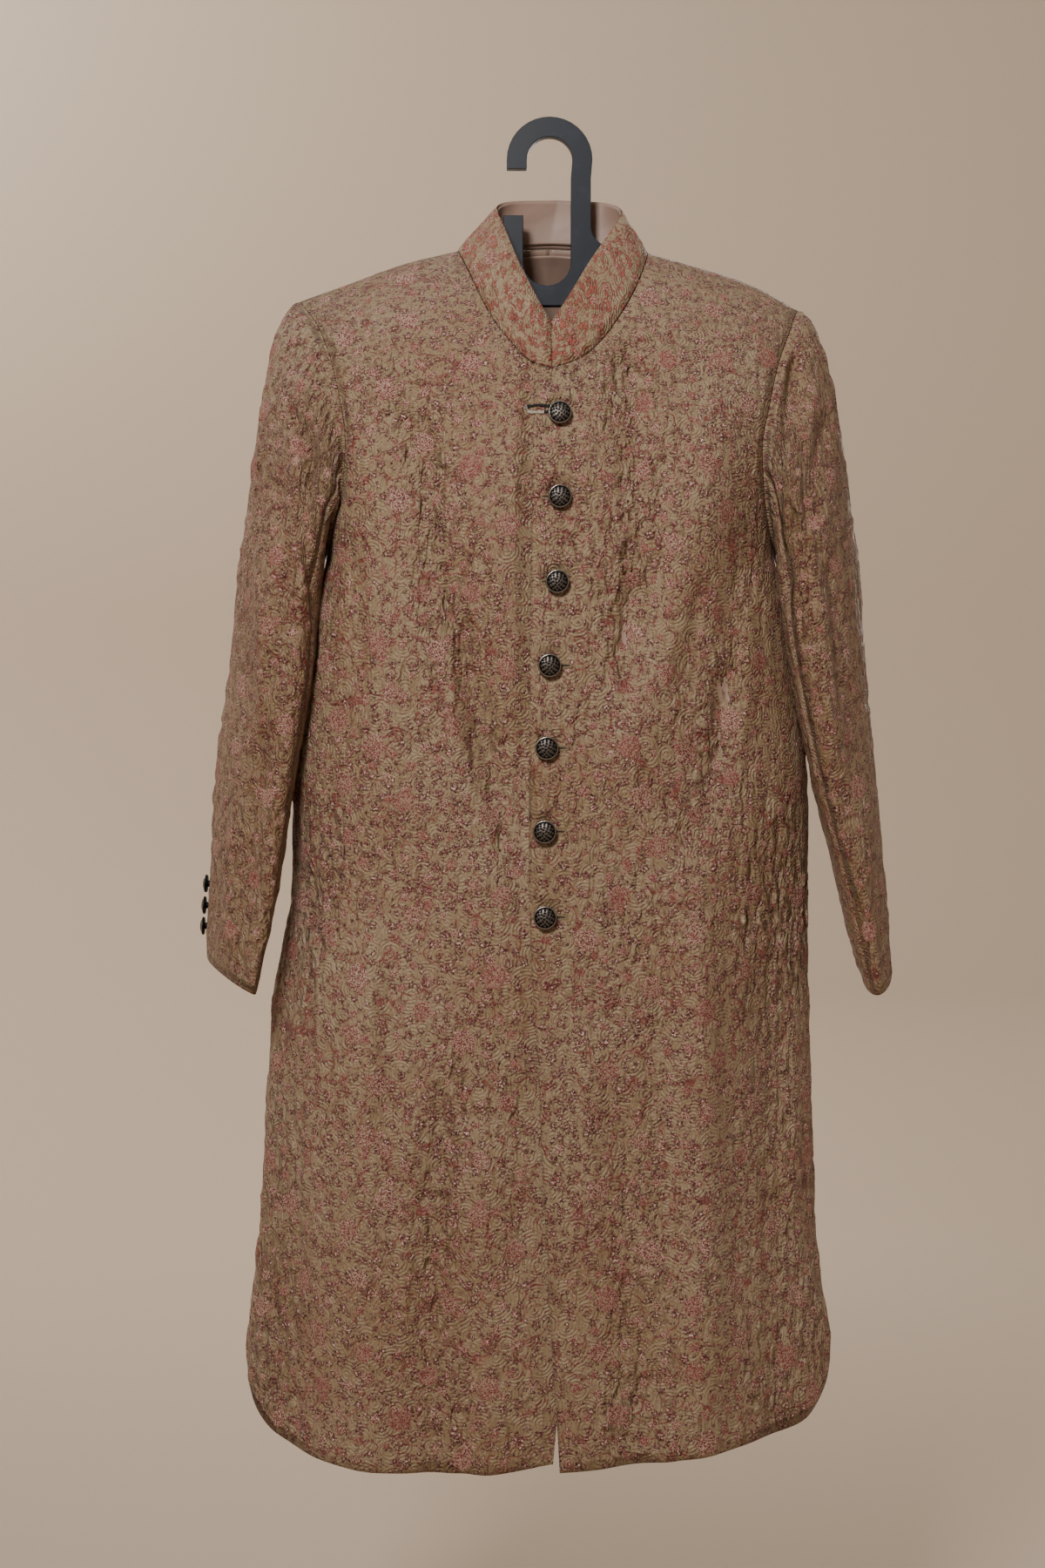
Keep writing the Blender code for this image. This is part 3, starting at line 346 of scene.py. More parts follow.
BACK_CREASES = table(
    "top_x  top_z  low_x  low_z  bow  width  height",
    (-140, -240, -100, -380, -6, 12, -3.2),
    (-70, -250, -52, -430, 4, 11, 2.6),
    (-40, -420, -28, -600, -3, 10, -2.8),
    (-112, -430, -92, -640, -5, 10, -3.0),
    (-178, -480, -170, -690, 3, 11, 2.6),
    (34, -300, 22, -480, 4, 11, -2.6),
    (88, -330, 66, -540, -4, 10, 2.4),
    (140, -330, 118, -520, -5, 11, -3.2),
    (92, -580, 84, -760, 3, 9, -2.6),
    (180, -560, 174, -780, -3, 11, -2.8),
    (-52, -700, -56, -930, 4, 11, -2.6),
    (-120, -820, -132, -1090, -4, 12, 2.8),
    (-196, -880, -206, -1160, 3, 12, -3.0),
    (14, -860, 20, -1120, -3, 13, -2.6),
    (92, -880, 100, -1160, 4, 12, 2.6),
    (164, -900, 172, -1180, -4, 12, -3.0),
    (232, -960, 238, -1240, 2, 12, 2.4),
    (-34, -1040, -38, -1310, 3, 13, 2.2),
)


def side_name(side):
    """Column name of a side: the wearer's right is -X, the wearer's left is +X."""
    return "right" if side < 0 else "left"


def section(z):
    """Middle and half width of the level section at z."""
    right = along(SECTIONS, "z", "right", z)
    left = along(SECTIONS, "z", "left", z)
    return (left - right) / 2, (left + right) / 2


def fold_height(x, z, folds):
    """How far the folds stand out at x, z."""
    total = 0.0
    for fold in folds:
        t = (fold["top_z"] - z) / (fold["top_z"] - fold["low_z"])
        inside = np.clip(t, 0, 1)
        centre = fold["top_x"] + (fold["low_x"] - fold["top_x"]) * inside
        centre = centre + 4 * fold["bow"] * inside * (1 - inside)
        fade = ease(0, FOLD_FADE, t) * ease(0, FOLD_FADE, 1 - t)
        total = total + fold["height"] * fade * np.exp(-(((x - centre) / fold["width"]) ** 2))
    return total


def torso(x, z, face):
    """Outer surface of the coat at x, z; face is -1 for the front and 1 for the back."""
    middle, half = section(z)
    reach = np.clip(np.abs(x - middle) / half, 0, 1)
    bend = np.maximum(1 - reach ** ROUNDNESS, 0) ** (1 / ROUNDNESS)
    drop = along(RIDGE, "x", "z", x) - z
    fall = FRONT_FALL if face < 0 else BACK_FALL
    shoulder = (1 - (1 - np.clip(drop / fall, 0, 1)) ** 2) ** SHOULDER_EASE
    depth = along(SECTIONS, "z", "front" if face < 0 else "back", z)
    rows = FRONT_FOLDS + FRONT_CREASES if face < 0 else BACK_FOLDS + BACK_CREASES
    folds = fold_height(x, z, rows) * shoulder * ease(0, 0.5, bend)
    folds = folds * FOLD_GAIN
    return stack(x, face * (depth * bend * shoulder + folds), z)


def torso_out(x, z, face):
    """Outward normal of the torso at x, z, taken along the ridge and just below the point."""
    step = 0.05
    here = torso(x, z, face)
    rise = along(RIDGE, "x", "z", x + step) - along(RIDGE, "x", "z", x)
    aside = torso(x + step, z + rise, face) - here
    below = torso(x, z - step, face) - here
    return unit(np.cross(below, aside)) * -face


print("folds:", len(FRONT_FOLDS) + len(BACK_FOLDS), "creases:", len(FRONT_CREASES) + len(BACK_CREASES))

# %% [markdown]
# ## Edges of the cut panels
#
# Every panel is bounded by lines on that surface: the lap and the edge below it, the rounded hem, the
# neckline, the armholes and the side seams. A panel's own coordinates run across from its front edge to its
# side seam and up from its hem to its shoulder, so a grid of them is a cut piece that already has its worn
# form.

# %% Edges and panel coordinates
SEAM_GAP = 0.3
LAP_STEP = 3.0
LAP_RUN = 16.0
NECK_DROP_BACK = 17.0
UNDERARM_ROW = 0.62
UNDERARM_LEVEL = -400.0
UNDERARM_DIP = 5.0
NECK_ROW = 0.80
NECK_START = 0.12
STRIP_DROP = 11.0
BACK_NECK_SHARE = 0.375
UNDER_EDGE_IN = 2.0

FRONT_EDGES = table(
    "z      lap    under",
    (-1262, 8.2, 0.5),
    (-1208, 5.0, 5.6),
    (-1127, -0.6, 13.0),
    (-1041, -4.6, 20.0),
    (-970, -8.6, 23.0),
    (-892, -11.8, 25.0),
    (-816, -16.6, 25.0),
    (-746, -19.8, 24.0),
    (-666, -20.6, 24.0),
    (-546, -19.8, 24.0),
    (-386, -17.4, 23.0),
    (-237, -15.5, 21.0),
)
HEMS = table(
    "across  left   right  back",
    (0.00, -1256, -1248, -1276),
    (0.10, -1253, -1256, -1276),
    (0.25, -1246, -1259, -1274),
    (0.50, -1235, -1253, -1267),
    (0.68, -1225, -1240, -1253),
    (0.80, -1206, -1222, -1232),
    (0.92, -1183, -1193, -1198),
    (1.00, -1162, -1162, -1162),
)
NECKLINE = table(
    "share  right_x  right_z  left_x  left_z",
    (0.00, 0.6, -240.5, 0.6, -240.5),
    (0.12, -15.5, -236, 18, -236),
    (0.32, -42, -209, 39, -222),
    (0.55, -59, -182, 64, -189),
    (0.78, -73, -150, 83, -152),
    (0.93, -84, -123, 92, -126),
    (1.00, -90, -109, 96, -111),
)
ARMHOLES = table(
    "row   right_x  right_z  left_x  left_z  right_back  left_back  back_z",
    (0.62, 214, -405, 216, -405, 214, 216, -405),
    (0.66, 207, -382, 209, -383, 210, 212, -381),
    (0.72, 197, -350, 203, -352, 206, 210, -346),
    (0.80, 193, -304, 200, -310, 205, 209, -298),
    (0.87, 199, -262, 207, -270, 208, 212, -257),
    (0.93, 209, -222, 217, -230, 215, 219, -219),
    (0.97, 221, -191, 229, -197, 225, 229, -190),
    (1.00, 242, -158, 240, -166, 242, 240, -158),
)


def swing(start, end, share, z):
    """x that goes from start to end by equal angles round the section at z."""
    middle, half = section(z)
    first = np.arcsin(np.clip((start - middle) / half, -1, 1))
    last = np.arcsin(np.clip((end - middle) / half, -1, 1))
    return middle + half * np.sin(first + (last - first) * share)


def neck(side, share):
    """Front neckline from the centre front (0) to the shoulder seam (1); below 0 is the other side."""
    name = side_name(side)
    other = side_name(-side)
    own_x = along(NECKLINE, "share", name + "_x", share)
    own_z = along(NECKLINE, "share", name + "_z", share)
    far_x = along(NECKLINE, "share", other + "_x", -share)
    far_z = along(NECKLINE, "share", other + "_z", -share)
    return np.where(share >= 0, own_x, far_x), np.where(share >= 0, own_z, far_z)


def back_neck(side, share):
    """Back neckline from the centre back (0) to the shoulder seam (1)."""
    x = NECKLINE[-1][side_name(side) + "_x"] * share
    return x, along(RIDGE, "x", "z", x) - NECK_DROP_BACK * (1 - share ** 2) ** 1.3


def armhole(side, face, row):
    """Armhole x, z at a row."""
    name = side_name(side)
    if face < 0:
        return side * along(ARMHOLES, "row", name + "_x", row), along(ARMHOLES, "row", name + "_z", row)
    tip_gap = ARMHOLES[-1][name + "_z"] - ARMHOLES[-1]["back_z"]
    x = side * along(ARMHOLES, "row", name + "_back", row)
    return x, along(ARMHOLES, "row", "back_z", row) + tip_gap * ease(NECK_ROW, 1.0, row)


def low_level(column, across, row):
    """Height of a point below the underarm: rows follow the hem and straighten as they rise."""
    hem = along(HEMS, "across", column, across)
    return hem + (UNDERARM_LEVEL - UNDERARM_DIP * across - hem) * np.clip(row / UNDERARM_ROW, 0, 1)


def front_edge(side, z):
    """x where the main part of a front starts: the lap's edge, or just behind it on the panel below."""
    lap = along(FRONT_EDGES, "z", "lap", z)
    if side > 0:
        return lap
    return np.minimum(lap, along(FRONT_EDGES, "z", "under", z)) - UNDER_EDGE_IN


def under_lap(x, z):
    """1 where the wearer's right front lies under the lap, 0 clear of it."""
    lap = along(FRONT_EDGES, "z", "lap", z)
    under = along(FRONT_EDGES, "z", "under", z)
    near = np.minimum(lap, under) - UNDER_EDGE_IN
    return (1 - ease(0, LAP_RUN, near - x)) * ease(-7.0, -2.0, under - lap)


def ridge_bow(side, x):
    """Rise of the shoulder ridge above the straight line from the neck to the shoulder tip."""
    name = side_name(side)
    neck_x, neck_z = NECKLINE[-1][name + "_x"], NECKLINE[-1][name + "_z"]
    tip_x, tip_z = side * ARMHOLES[-1][name + "_x"], ARMHOLES[-1][name + "_z"]
    return along(RIDGE, "x", "z", x) - (neck_z + (tip_z - neck_z) * (x - neck_x) / (tip_x - neck_x))


def front_point(side, across, row):
    """Outer surface of a front: across runs from edge (0) to side (1), row from hem (0) to shoulder (1).

    On the wearer's right, across below 0 is the strip under the lap, and -1 is that strip's free edge.
    """
    main = np.clip(across, 0, 1)
    level = low_level(side_name(side), main, row)
    middle, half = section(level)
    low_x = swing(front_edge(side, level), middle + side * half, main, level)
    high = np.clip(row, UNDERARM_ROW, 1)
    first_share = -NECK_START if side > 0 else NECK_START
    start_z = neck(side, np.array(first_share))[1]
    chest = np.clip((high - UNDERARM_ROW) / (NECK_ROW - UNDERARM_ROW), 0, 1)
    chest_z = UNDERARM_LEVEL + (start_z - UNDERARM_LEVEL) * chest
    neck_row = np.clip((high - NECK_ROW) / (1 - NECK_ROW), 0, 1)
    neck_x, neck_z = neck(side, first_share + (1 - first_share) * neck_row)
    below_neck = high <= NECK_ROW
    inner_x = np.where(below_neck, front_edge(side, chest_z), neck_x)
    inner_z = np.where(below_neck, chest_z, neck_z)
    outer_x, outer_z = armhole(side, -1, high)
    high_x = swing(inner_x, outer_x, main, inner_z + (outer_z - inner_z) * main)
    high_x = high_x + (inner_x + (outer_x - inner_x) * main - high_x) * ease(NECK_ROW, 1, row)
    high_z = inner_z + (outer_z - inner_z) * (high_x - inner_x) / (outer_x - inner_x)
    high_z = high_z + ridge_bow(side, high_x) * ease(0.86, 1, row)
    upper = row > UNDERARM_ROW
    x = np.where(upper, high_x, low_x)
    z = np.where(upper, high_z, level)
    if side > 0:
        return torso(x, z, -1)
    strip = np.clip(-across, 0, 1)
    x = x + (along(FRONT_EDGES, "z", "under", z) - x) * strip
    z = z - STRIP_DROP * ease(0, 0.5, strip) * ease(0.75, NECK_ROW, row)
    points = torso(x, z, -1)
    points[..., 1] += LAP_STEP * under_lap(x, z)
    return points


def back_line(side, across, up):
    """x, z on a back panel's lower or upper edge above the underarm level; up is 0 or 1."""
    if up == 0:
        z = UNDERARM_LEVEL - UNDERARM_DIP * across
        middle, half = section(z)
        return swing(middle, middle + side * half, across, z), z
    neck_x, neck_z = back_neck(side, np.clip(across / BACK_NECK_SHARE, 0, 1))
    tip_x = side * ARMHOLES[-1][side_name(side) + "_x"]
    seam = np.clip((across - BACK_NECK_SHARE) / (1 - BACK_NECK_SHARE), 0, 1)
    x = neck_x + (tip_x - neck_x) * seam
    return x, np.where(across <= BACK_NECK_SHARE, neck_z, along(RIDGE, "x", "z", x))


def back_point(side, across, row):
    """Outer surface of a back panel: across runs from the centre-back seam (0) to the side (1)."""
    level = low_level("back", across, row)
    middle, half = section(level)
    low_x = swing(middle, middle + side * half, across, level)
    up = np.clip((row - UNDERARM_ROW) / (1 - UNDERARM_ROW), 0, 1)
    base = back_line(side, across, 0)
    top = back_line(side, across, 1)
    outer = armhole(side, 1, np.clip(row, UNDERARM_ROW, 1))
    side_base = back_line(side, np.array(1.0), 0)
    side_top = back_line(side, np.array(1.0), 1)
    high = []
    for axis in (0, 1):
        straight = base[axis] + (top[axis] - base[axis]) * up
        side_line = side_base[axis] + (side_top[axis] - side_base[axis]) * up
        high.append(straight + (outer[axis] - side_line) * across)
    upper = row > UNDERARM_ROW
    return torso(np.where(upper, high[0], low_x), np.where(upper, high[1], level), 1)


def normals(point, across, row, flip):
    """Unit normals of a surface given by point(across, row); level front to back on the ridge."""
    step = 1e-4
    right = point(np.minimum(across + step, 1), row) - point(across - step * (across > step), row)
    above = point(across, np.minimum(row + step, 1)) - point(across, np.maximum(row - step, 0))
    out = flip * unit(np.cross(right, above))
    return np.where(np.isclose(row, 1)[..., None], unit(out * (1, 0, 1)), out)


print("hem row at the centre front:", np.round(front_point(1, np.array(0.0), np.array(0.0)), 1))


# %% [markdown]
# ## Sleeves
#
# A tailored sleeve has a wide top piece and a narrow under piece. It leaves the armhole in line with the
# body's cloth, turns over and hangs as a flat tube that twists a little towards the front. The cap is a
# smooth blend between the armhole's ring and the first level ring of the arm, angle by angle.

# %% Sleeve rings
CAP_END = 0.40
CAP_PUSH = 0.42
CAP_SETTLE = 0.90
CAP_BLEND = 0.06
CAP_FORWARD = 0.38
CAP_FALL = 0.22
CAP_UNDER_IN = 0.25
CAP_UNDER_FALL = 0.1
CAP_SETTLE_OUT = 0.10
CUFF_TILT = 12.0
CUFF_SLOPE = 5.0

SLEEVES = table(
    "z     right_x  left_x  centre_y  thick  deep  right_turn  left_turn",
    (-809, -304.5, 313, -30, 14, 66, 25, 7),
    (-781, -302, 308, -26, 17, 69, 25.5, 7.5),
    (-710, -293.5, 298, -16, 23, 75, 26, 9),
    (-626, -286, 285, -8, 29, 80, 25, 12),
    (-520, -270, 270, -4, 34, 83, 22, 16),
    (-432, -261, 261, -2, 37.5, 85, 18, 18),
)
SLEEVE_FOLDS = table(
    "side  top_angle  top_row  low_angle  low_row  width  height",
    (-1, 62, 0.06, 96, 0.36, 13, -7),
    (-1, 96, 0.28, 128, 0.46, 12, -5),
    (-1, 20, 0.50, 60, 0.74, 20, -3),
    (-1, 230, 0.10, 262, 0.45, 14, -6),
    (1, 44, 0.03, 82, 0.34, 11, -9),
    (1, 100, 0.24, 120, 0.44, 12, -5),
    (1, 30, 0.52, 66, 0.76, 20, -3),
    (1, 226, 0.10, 258, 0.45, 14, -6),
)
SLEEVE_CREASES = table(
    "top_x  top_z  low_x  low_z  bow  width  height",
    (-226, -210, -186, -330, 5, 8, -10.0),
    (-240, -232, -208, -340, 6, 7, 5.0),
    (-248, -262, -216, -380, 6, 7, -7.0),
    (-214, -330, -196, -400, 4, 9, 6.0),
    (-260, -320, -246, -480, 3, 8, -5.0),
    (-232, -396, -252, -540, -4, 9, -5.0),
    (-272, -420, -276, -610, 2, 8, 4.0),
    (-262, -550, -284, -770, -4, 10, -5.0),
    (-296, -630, -306, -810, -3, 9, 4.0),
    (-290, -720, -296, -880, 3, 8, -4.0),
    (240, -200, 221, -340, -6, 8, -10.0),
    (256, -230, 236, -360, -5, 7, 5.0),
    (268, -262, 246, -400, -4, 8, -6.5),
    (222, -345, 242, -408, 4, 9, 6.0),
    (262, -396, 274, -570, 3, 9, -5.5),
    (246, -424, 262, -630, 4, 9, 4.0),
    (292, -460, 306, -690, 3, 9, 4.0),
    (272, -610, 290, -810, 4, 10, -5.5),
    (306, -700, 318, -860, 3, 8, -4.0),
)


def armhole_lengths(side):
    """Rows from underarm to tip, and the share of the armhole's half length below each, both sides."""
    rows = np.linspace(UNDERARM_ROW, 1, 160)
    shares = {}
    for face, point in ((-1, front_point), (1, back_point)):
        line = point(side, np.ones_like(rows), rows)
        length = np.concatenate([[0], np.cumsum(np.linalg.norm(np.diff(line, axis=0), axis=1))])
        shares[face] = length / length[-1]
    return rows, shares


def armhole_ring(side, angles):
    """Armhole points and body normals round the arm: 0 shoulder tip, 90 front, 180 underarm, 270 back."""
    rows, found = armhole_lengths(side)
    angles = np.asarray(angles, float) % 360
    front = angles <= 180
    front_row = np.interp(1 - np.clip(angles, 0, 180) / 180, found[-1], rows)
    back_row = np.interp((np.clip(angles, 180, 360) - 180) / 180, found[1], rows)
    ones = np.ones_like(angles)
    front_points = front_point(side, ones, front_row)
    back_points = back_point(side, ones, back_row)
    points = np.where(front[..., None], front_points, back_points)
    front_out = normals(lambda a, r: front_point(side, a, r), ones * 0.9999, front_row, side)
    back_out = normals(lambda a, r: back_point(side, a, r), ones * 0.9999, back_row, -side)
    return points, np.where(front[..., None], front_out, back_out)


def armhole_away(side, angles):
    """Directions that lead off the body across the armhole's edge, in line with the cloth there."""
    step = 0.5
    ahead, _ = armhole_ring(side, angles + step)
    behind, _ = armhole_ring(side, angles - step)
    _, out = armhole_ring(side, angles)
    return -side * unit(np.cross(ahead - behind, out))


def arm_ring(side, angles, z):
    """A level ring of the sleeve at height z, before its cuff tilt."""
    name = side_name(side)
    turn = np.radians(along(SLEEVES, "z", name + "_turn", z))
    thick = along(SLEEVES, "z", "thick", z) * np.cos(np.radians(angles))
    deep = along(SLEEVES, "z", "deep", z) * np.sin(np.radians(angles))
    x = along(SLEEVES, "z", name + "_x", z) + side * (thick * np.cos(turn) - deep * np.sin(turn))
    y = along(SLEEVES, "z", "centre_y", z) - thick * np.sin(turn) - deep * np.cos(turn)
    tilt = CUFF_TILT * np.sin(np.radians(angles)) - CUFF_SLOPE * np.cos(np.radians(angles))
    return stack(x, y, z - tilt)


def sleeve_fold(side, angles, share):
    """How far the sleeve's folds stand out."""
    total = np.zeros(np.broadcast(angles, share).shape)
    for fold in SLEEVE_FOLDS:
        if fold["side"] != side:
            continue
        t = (share - fold["top_row"]) / (fold["low_row"] - fold["top_row"])
        centre = fold["top_angle"] + (fold["low_angle"] - fold["top_angle"]) * np.clip(t, 0, 1)
        fade = ease(-0.05, 0.3, t) * ease(-0.05, 0.35, 1 - t)
        total = total + fold["height"] * fade * np.exp(-(((angles - centre) / fold["width"]) ** 2))
    return total


def sleeve_base(side, angles, share):
    """Sleeve surface without folds: share runs from the armhole (0) to the cuff (1).

    Both are grids, and every row of the angles is alike, so the armhole is worked out for the first alone.
    """
    angles, share = np.broadcast_arrays(np.asarray(angles, float), np.asarray(share, float))
    start, _ = armhole_ring(side, angles[:1])
    top_z = SLEEVES[-1]["z"]
    end = arm_ring(side, angles, top_z + 0 * angles)
    turn = np.radians(angles)
    reach = np.linalg.norm(end - start, axis=-1, keepdims=True)
    under = (1 - np.cos(turn)) / 2
    fall = -CAP_FALL - CAP_UNDER_FALL * under
    push = stack(side * (1 - CAP_UNDER_IN * under), -CAP_FORWARD * np.sin(turn), fall)
    leave = unit(push) * reach * CAP_PUSH
    settle = stack(side * CAP_SETTLE_OUT, 0 * turn, -1) * reach * CAP_SETTLE
    start = start + armhole_away(side, angles[:1]) * SEAM_GAP
    t = np.clip(share / CAP_END, 0, 1)[..., None]
    cap = start * (1 + 2 * t) * (1 - t) ** 2 + leave * t * (1 - t) ** 2
    cap = cap + end * t * t * (3 - 2 * t) - settle * t * t * (1 - t)
    low = np.clip((share - CAP_END) / (1 - CAP_END), 0, 1)
    arm = arm_ring(side, angles, top_z + (SLEEVES[0]["z"] - top_z) * low)
    return np.where((share <= CAP_END)[..., None], cap, arm)


def sleeve_frame(side, angles, share):
    """Outer points of a sleeve and the directions in which its wall is thick."""
    angles, share = np.broadcast_arrays(np.asarray(angles, float), np.asarray(share, float))
    step = 0.02
    turn = sleeve_base(side, angles + step, share) - sleeve_base(side, angles - step, share)
    down_step = 1e-4
    lower = sleeve_base(side, angles, np.minimum(share + down_step, 1))
    down = lower - sleeve_base(side, angles, np.maximum(share - down_step, 0))
    out = unit(np.cross(turn, down)) * side
    _, body_out = armhole_ring(side, angles[:1])
    free = ease(0, CAP_BLEND, share)[..., None]
    out = unit(body_out * (1 - free) + out * free)
    base = sleeve_base(side, angles, share)
    fold = sleeve_fold(side, angles, share) * ease(0, CAP_BLEND, share)
    crease = fold_height(base[..., 0], base[..., 2], SLEEVE_CREASES) * ease(0.2, 0.6, -out[..., 1])
    crease = crease * ease(0.005, CAP_BLEND, share) * ease(0, 0.04, 1 - share)
    return base + out * (fold + crease)[..., None], out


# %% [markdown]
# ## Collar
#
# The stand collar is a band sewn to the neckline. Its foot follows the neck of the surface, and its top
# edge is a curve of its own in space, so the band leans and widens as it goes round.

# %% Collar band
COLLAR_SHOULDER = 0.60
COLLAR_BULGE = 1.6
COLLAR_BLEND = 0.25
COLLAR_FOOT_GAP = 0.6

COLLAR_TOP = table(
    "along  right_x  right_y  right_z  left_x  left_y  left_z",
    (0.00, 0.6, -79, -194, 0.6, -79, -194),
    (0.18, -16, -71, -163, 19, -71, -165),
    (0.34, -31, -57, -130, 37, -57, -133),
    (0.50, -44, -33, -94, 58, -32, -98),
    (0.64, -52, -4, -68, 71, -4, -72),
    (0.82, -36, 17, -57, 56, 17, -59),
    (1.00, 9, 26, -54, 9, 26, -54),
)


def collar_foot(side, share):
    """Foot of the collar and the body's normal there, from the centre front (0) to the centre back (1)."""
    front = share <= COLLAR_SHOULDER
    front_x, front_z = neck(side, np.clip(share / COLLAR_SHOULDER, 0, 1))
    back_x, back_z = back_neck(side, np.clip((1 - share) / (1 - COLLAR_SHOULDER), 0, 1))
    points = np.where(front[..., None], torso(front_x, front_z, -1), torso(back_x, back_z, 1))
    out = np.where(front[..., None], torso_out(front_x, front_z, -1), torso_out(back_x, back_z, 1))
    return points, np.where(np.isclose(share, COLLAR_SHOULDER)[..., None], unit(out * (1, 0, 1)), out)


def collar_point(side, share, up):
    """Outer face of the collar: up runs from its foot (0) to its top edge (1)."""
    name = side_name(side)
    foot, _ = collar_foot(side, share)
    top = stack(*[along(COLLAR_TOP, "along", name + axis, share) for axis in ("_x", "_y", "_z")])
    rise = unit(top - foot)
    foot = foot + rise * COLLAR_FOOT_GAP
    up = np.asarray(up, float)[..., None]
    return foot + (top - foot) * up


def collar_frame(side, share, up):
    """Outer points of the collar and the directions in which its wall is thick."""
    share, up = np.broadcast_arrays(np.asarray(share, float), np.asarray(up, float))
    step = 1e-3
    ahead = collar_point(side, np.minimum(share + step, 1), up)
    ahead = ahead - collar_point(side, np.maximum(share - step, 0), up)
    rise = collar_point(side, share, np.ones_like(up)) - collar_point(side, share, np.zeros_like(up))
    level = ahead.copy()
    middle = share > 1 - 2 * step
    level[middle] = level[middle] * (0, 0, 0) + (side * -1.0, 0, 0)
    out = unit(np.cross(level, rise)) * side
    _, body_out = collar_foot(side, share)
    free = ease(0, COLLAR_BLEND, up)[..., None]
    out = unit(body_out * (1 - free) + out * free)
    bulge = COLLAR_BULGE * 4 * up * (1 - up)
    return collar_point(side, share, up) + out * bulge[..., None], out


# %% [markdown]
# ## Wiring materials
#
# The cloth's materials are long chains of noise and mixing, so a few small helpers keep them readable: the
# first ones add a node and plug values or other nodes' outputs into it, and the others make the arithmetic
# nodes that repeat.

# %% Node helpers
def fill(tree, socket, value):
    """Gives a socket a plain value or another node's output."""
    if isinstance(value, bpy.types.NodeSocket):
        tree.links.new(value, socket)
    else:
        socket.default_value = value


def plug(tree, node, **inputs):
    """Fills a node's inputs by name; an underscore stands for a space."""
    for key, value in inputs.items():
        fill(tree, node.inputs[key.replace("_", " ")], value)


def wired(tree, kind, settings=None, **inputs):
    """New node with its settings, whose inputs get plain values or other nodes' outputs."""
    node = tree.nodes.new(kind)
    for key, value in (settings or {}).items():
        setattr(node, key, value)
    plug(tree, node, **inputs)
    return node


def calc(tree, operation, *values, kind="ShaderNodeMath", **inputs):
    """Output of a math node on values or outputs."""
    node = wired(tree, kind, {"operation": operation}, **inputs)
    for socket, value in zip(node.inputs, values):
        fill(tree, socket, value)
    return node.outputs[0]


def vector(tree, operation, *values, **inputs):
    """Output of a vector math node on values or outputs."""
    return calc(tree, operation, *values, kind="ShaderNodeVectorMath", **inputs)


def point_value(tree, name):
    """Output that reads a piece's attribute."""
    return wired(tree, "ShaderNodeAttribute", {"attribute_name": name}).outputs["Fac"]


def object_place(tree):
    """Output with the place in the piece's own space."""
    return wired(tree, "ShaderNodeTexCoord").outputs["Object"]


def cloth_place(tree):
    """Output with the place on flat cloth, in metres."""
    return wired(tree, "ShaderNodeUVMap", {"uv_map": "cloth"}).outputs[0]


def step_between(tree, value, low, high):
    """0 where the value is at low, 1 at high and smooth between; low may be the larger."""
    node = wired(tree, "ShaderNodeMapRange", {"interpolation_type": "SMOOTHSTEP"}, Value=value)
    plug(tree, node, From_Min=low, From_Max=high)
    return node.outputs["Result"]


def blend(tree, factor, first, second):
    """Colour between first and second."""
    node = wired(tree, "ShaderNodeMix", {"data_type": "RGBA"})
    for socket, value in ((node.inputs[0], factor), (node.inputs[6], first), (node.inputs[7], second)):
        fill(tree, socket, (*value, 1) if isinstance(value, tuple) else value)
    return node.outputs[2]


def tinted(tree, factor, colour, tint):
    """A colour multiplied by a tint, by a factor."""
    node = wired(tree, "ShaderNodeMix", {"data_type": "RGBA", "blend_type": "MULTIPLY"})
    tree.links.new(factor, node.inputs[0])
    tree.links.new(colour, node.inputs[6])
    node.inputs[7].default_value = (*tint, 1)
    return node.outputs[2]


def noise(tree, place, scale, detail=2.0, roughness=0.5, distortion=0.0):
    """Noise value at a place."""
    node = wired(tree, "ShaderNodeTexNoise", None, Vector=place, Scale=scale, Detail=detail)
    plug(tree, node, Roughness=roughness, Distortion=distortion)
    return node.outputs["Fac"]


def cells(tree, place, scale, randomness=1.0):
    """Voronoi node on flat cloth: distance to the nearest of its points, and a random colour for each."""
    settings = {"voronoi_dimensions": "2D"}
    return wired(tree, "ShaderNodeTexVoronoi", settings, Vector=place, Scale=scale, Randomness=randomness)


def shifted(tree, place, offset, stretch=(1, 1, 1)):
    """A place moved and stretched by a Mapping node."""
    return wired(tree, "ShaderNodeMapping", None, Vector=place, Location=offset, Scale=stretch).outputs[0]


def warped(tree, place, scale, amount):
    """A place pushed about by noise of a scale, by up to the amount in metres."""
    push = wired(tree, "ShaderNodeTexNoise", None, Vector=place, Scale=scale, Detail=1.0).outputs["Color"]
    centred = vector(tree, "SUBTRACT", push, (0.5, 0.5, 0.5))
    return vector(tree, "ADD", place, vector(tree, "SCALE", centred, Scale=2 * amount))


def relief(tree, shader, *layers):
    """Bumps the shader's normal with pairs of a height output and its real height in metres."""
    total = 0.0
    for height, distance in layers:
        total = calc(tree, "ADD", total, calc(tree, "MULTIPLY", height, distance))
    bump = wired(tree, "ShaderNodeBump", None, Height=total, Strength=1.0, Distance=1.0)
    tree.links.new(bump.outputs["Normal"], shader.inputs["Normal"])


# %% [markdown]
# ## Embroidered silk
#
# The ground is a gold-brown raw silk. Thread in two pinks and a dark maroon is worked over it in short
# curly strokes: in loose flowers, in scattered buds and along thin stems. All of it lies on the cloth's own
# UV map, in metres, as layers: a mask says where a motif is, and a fine noise breaks it into single
# strokes.

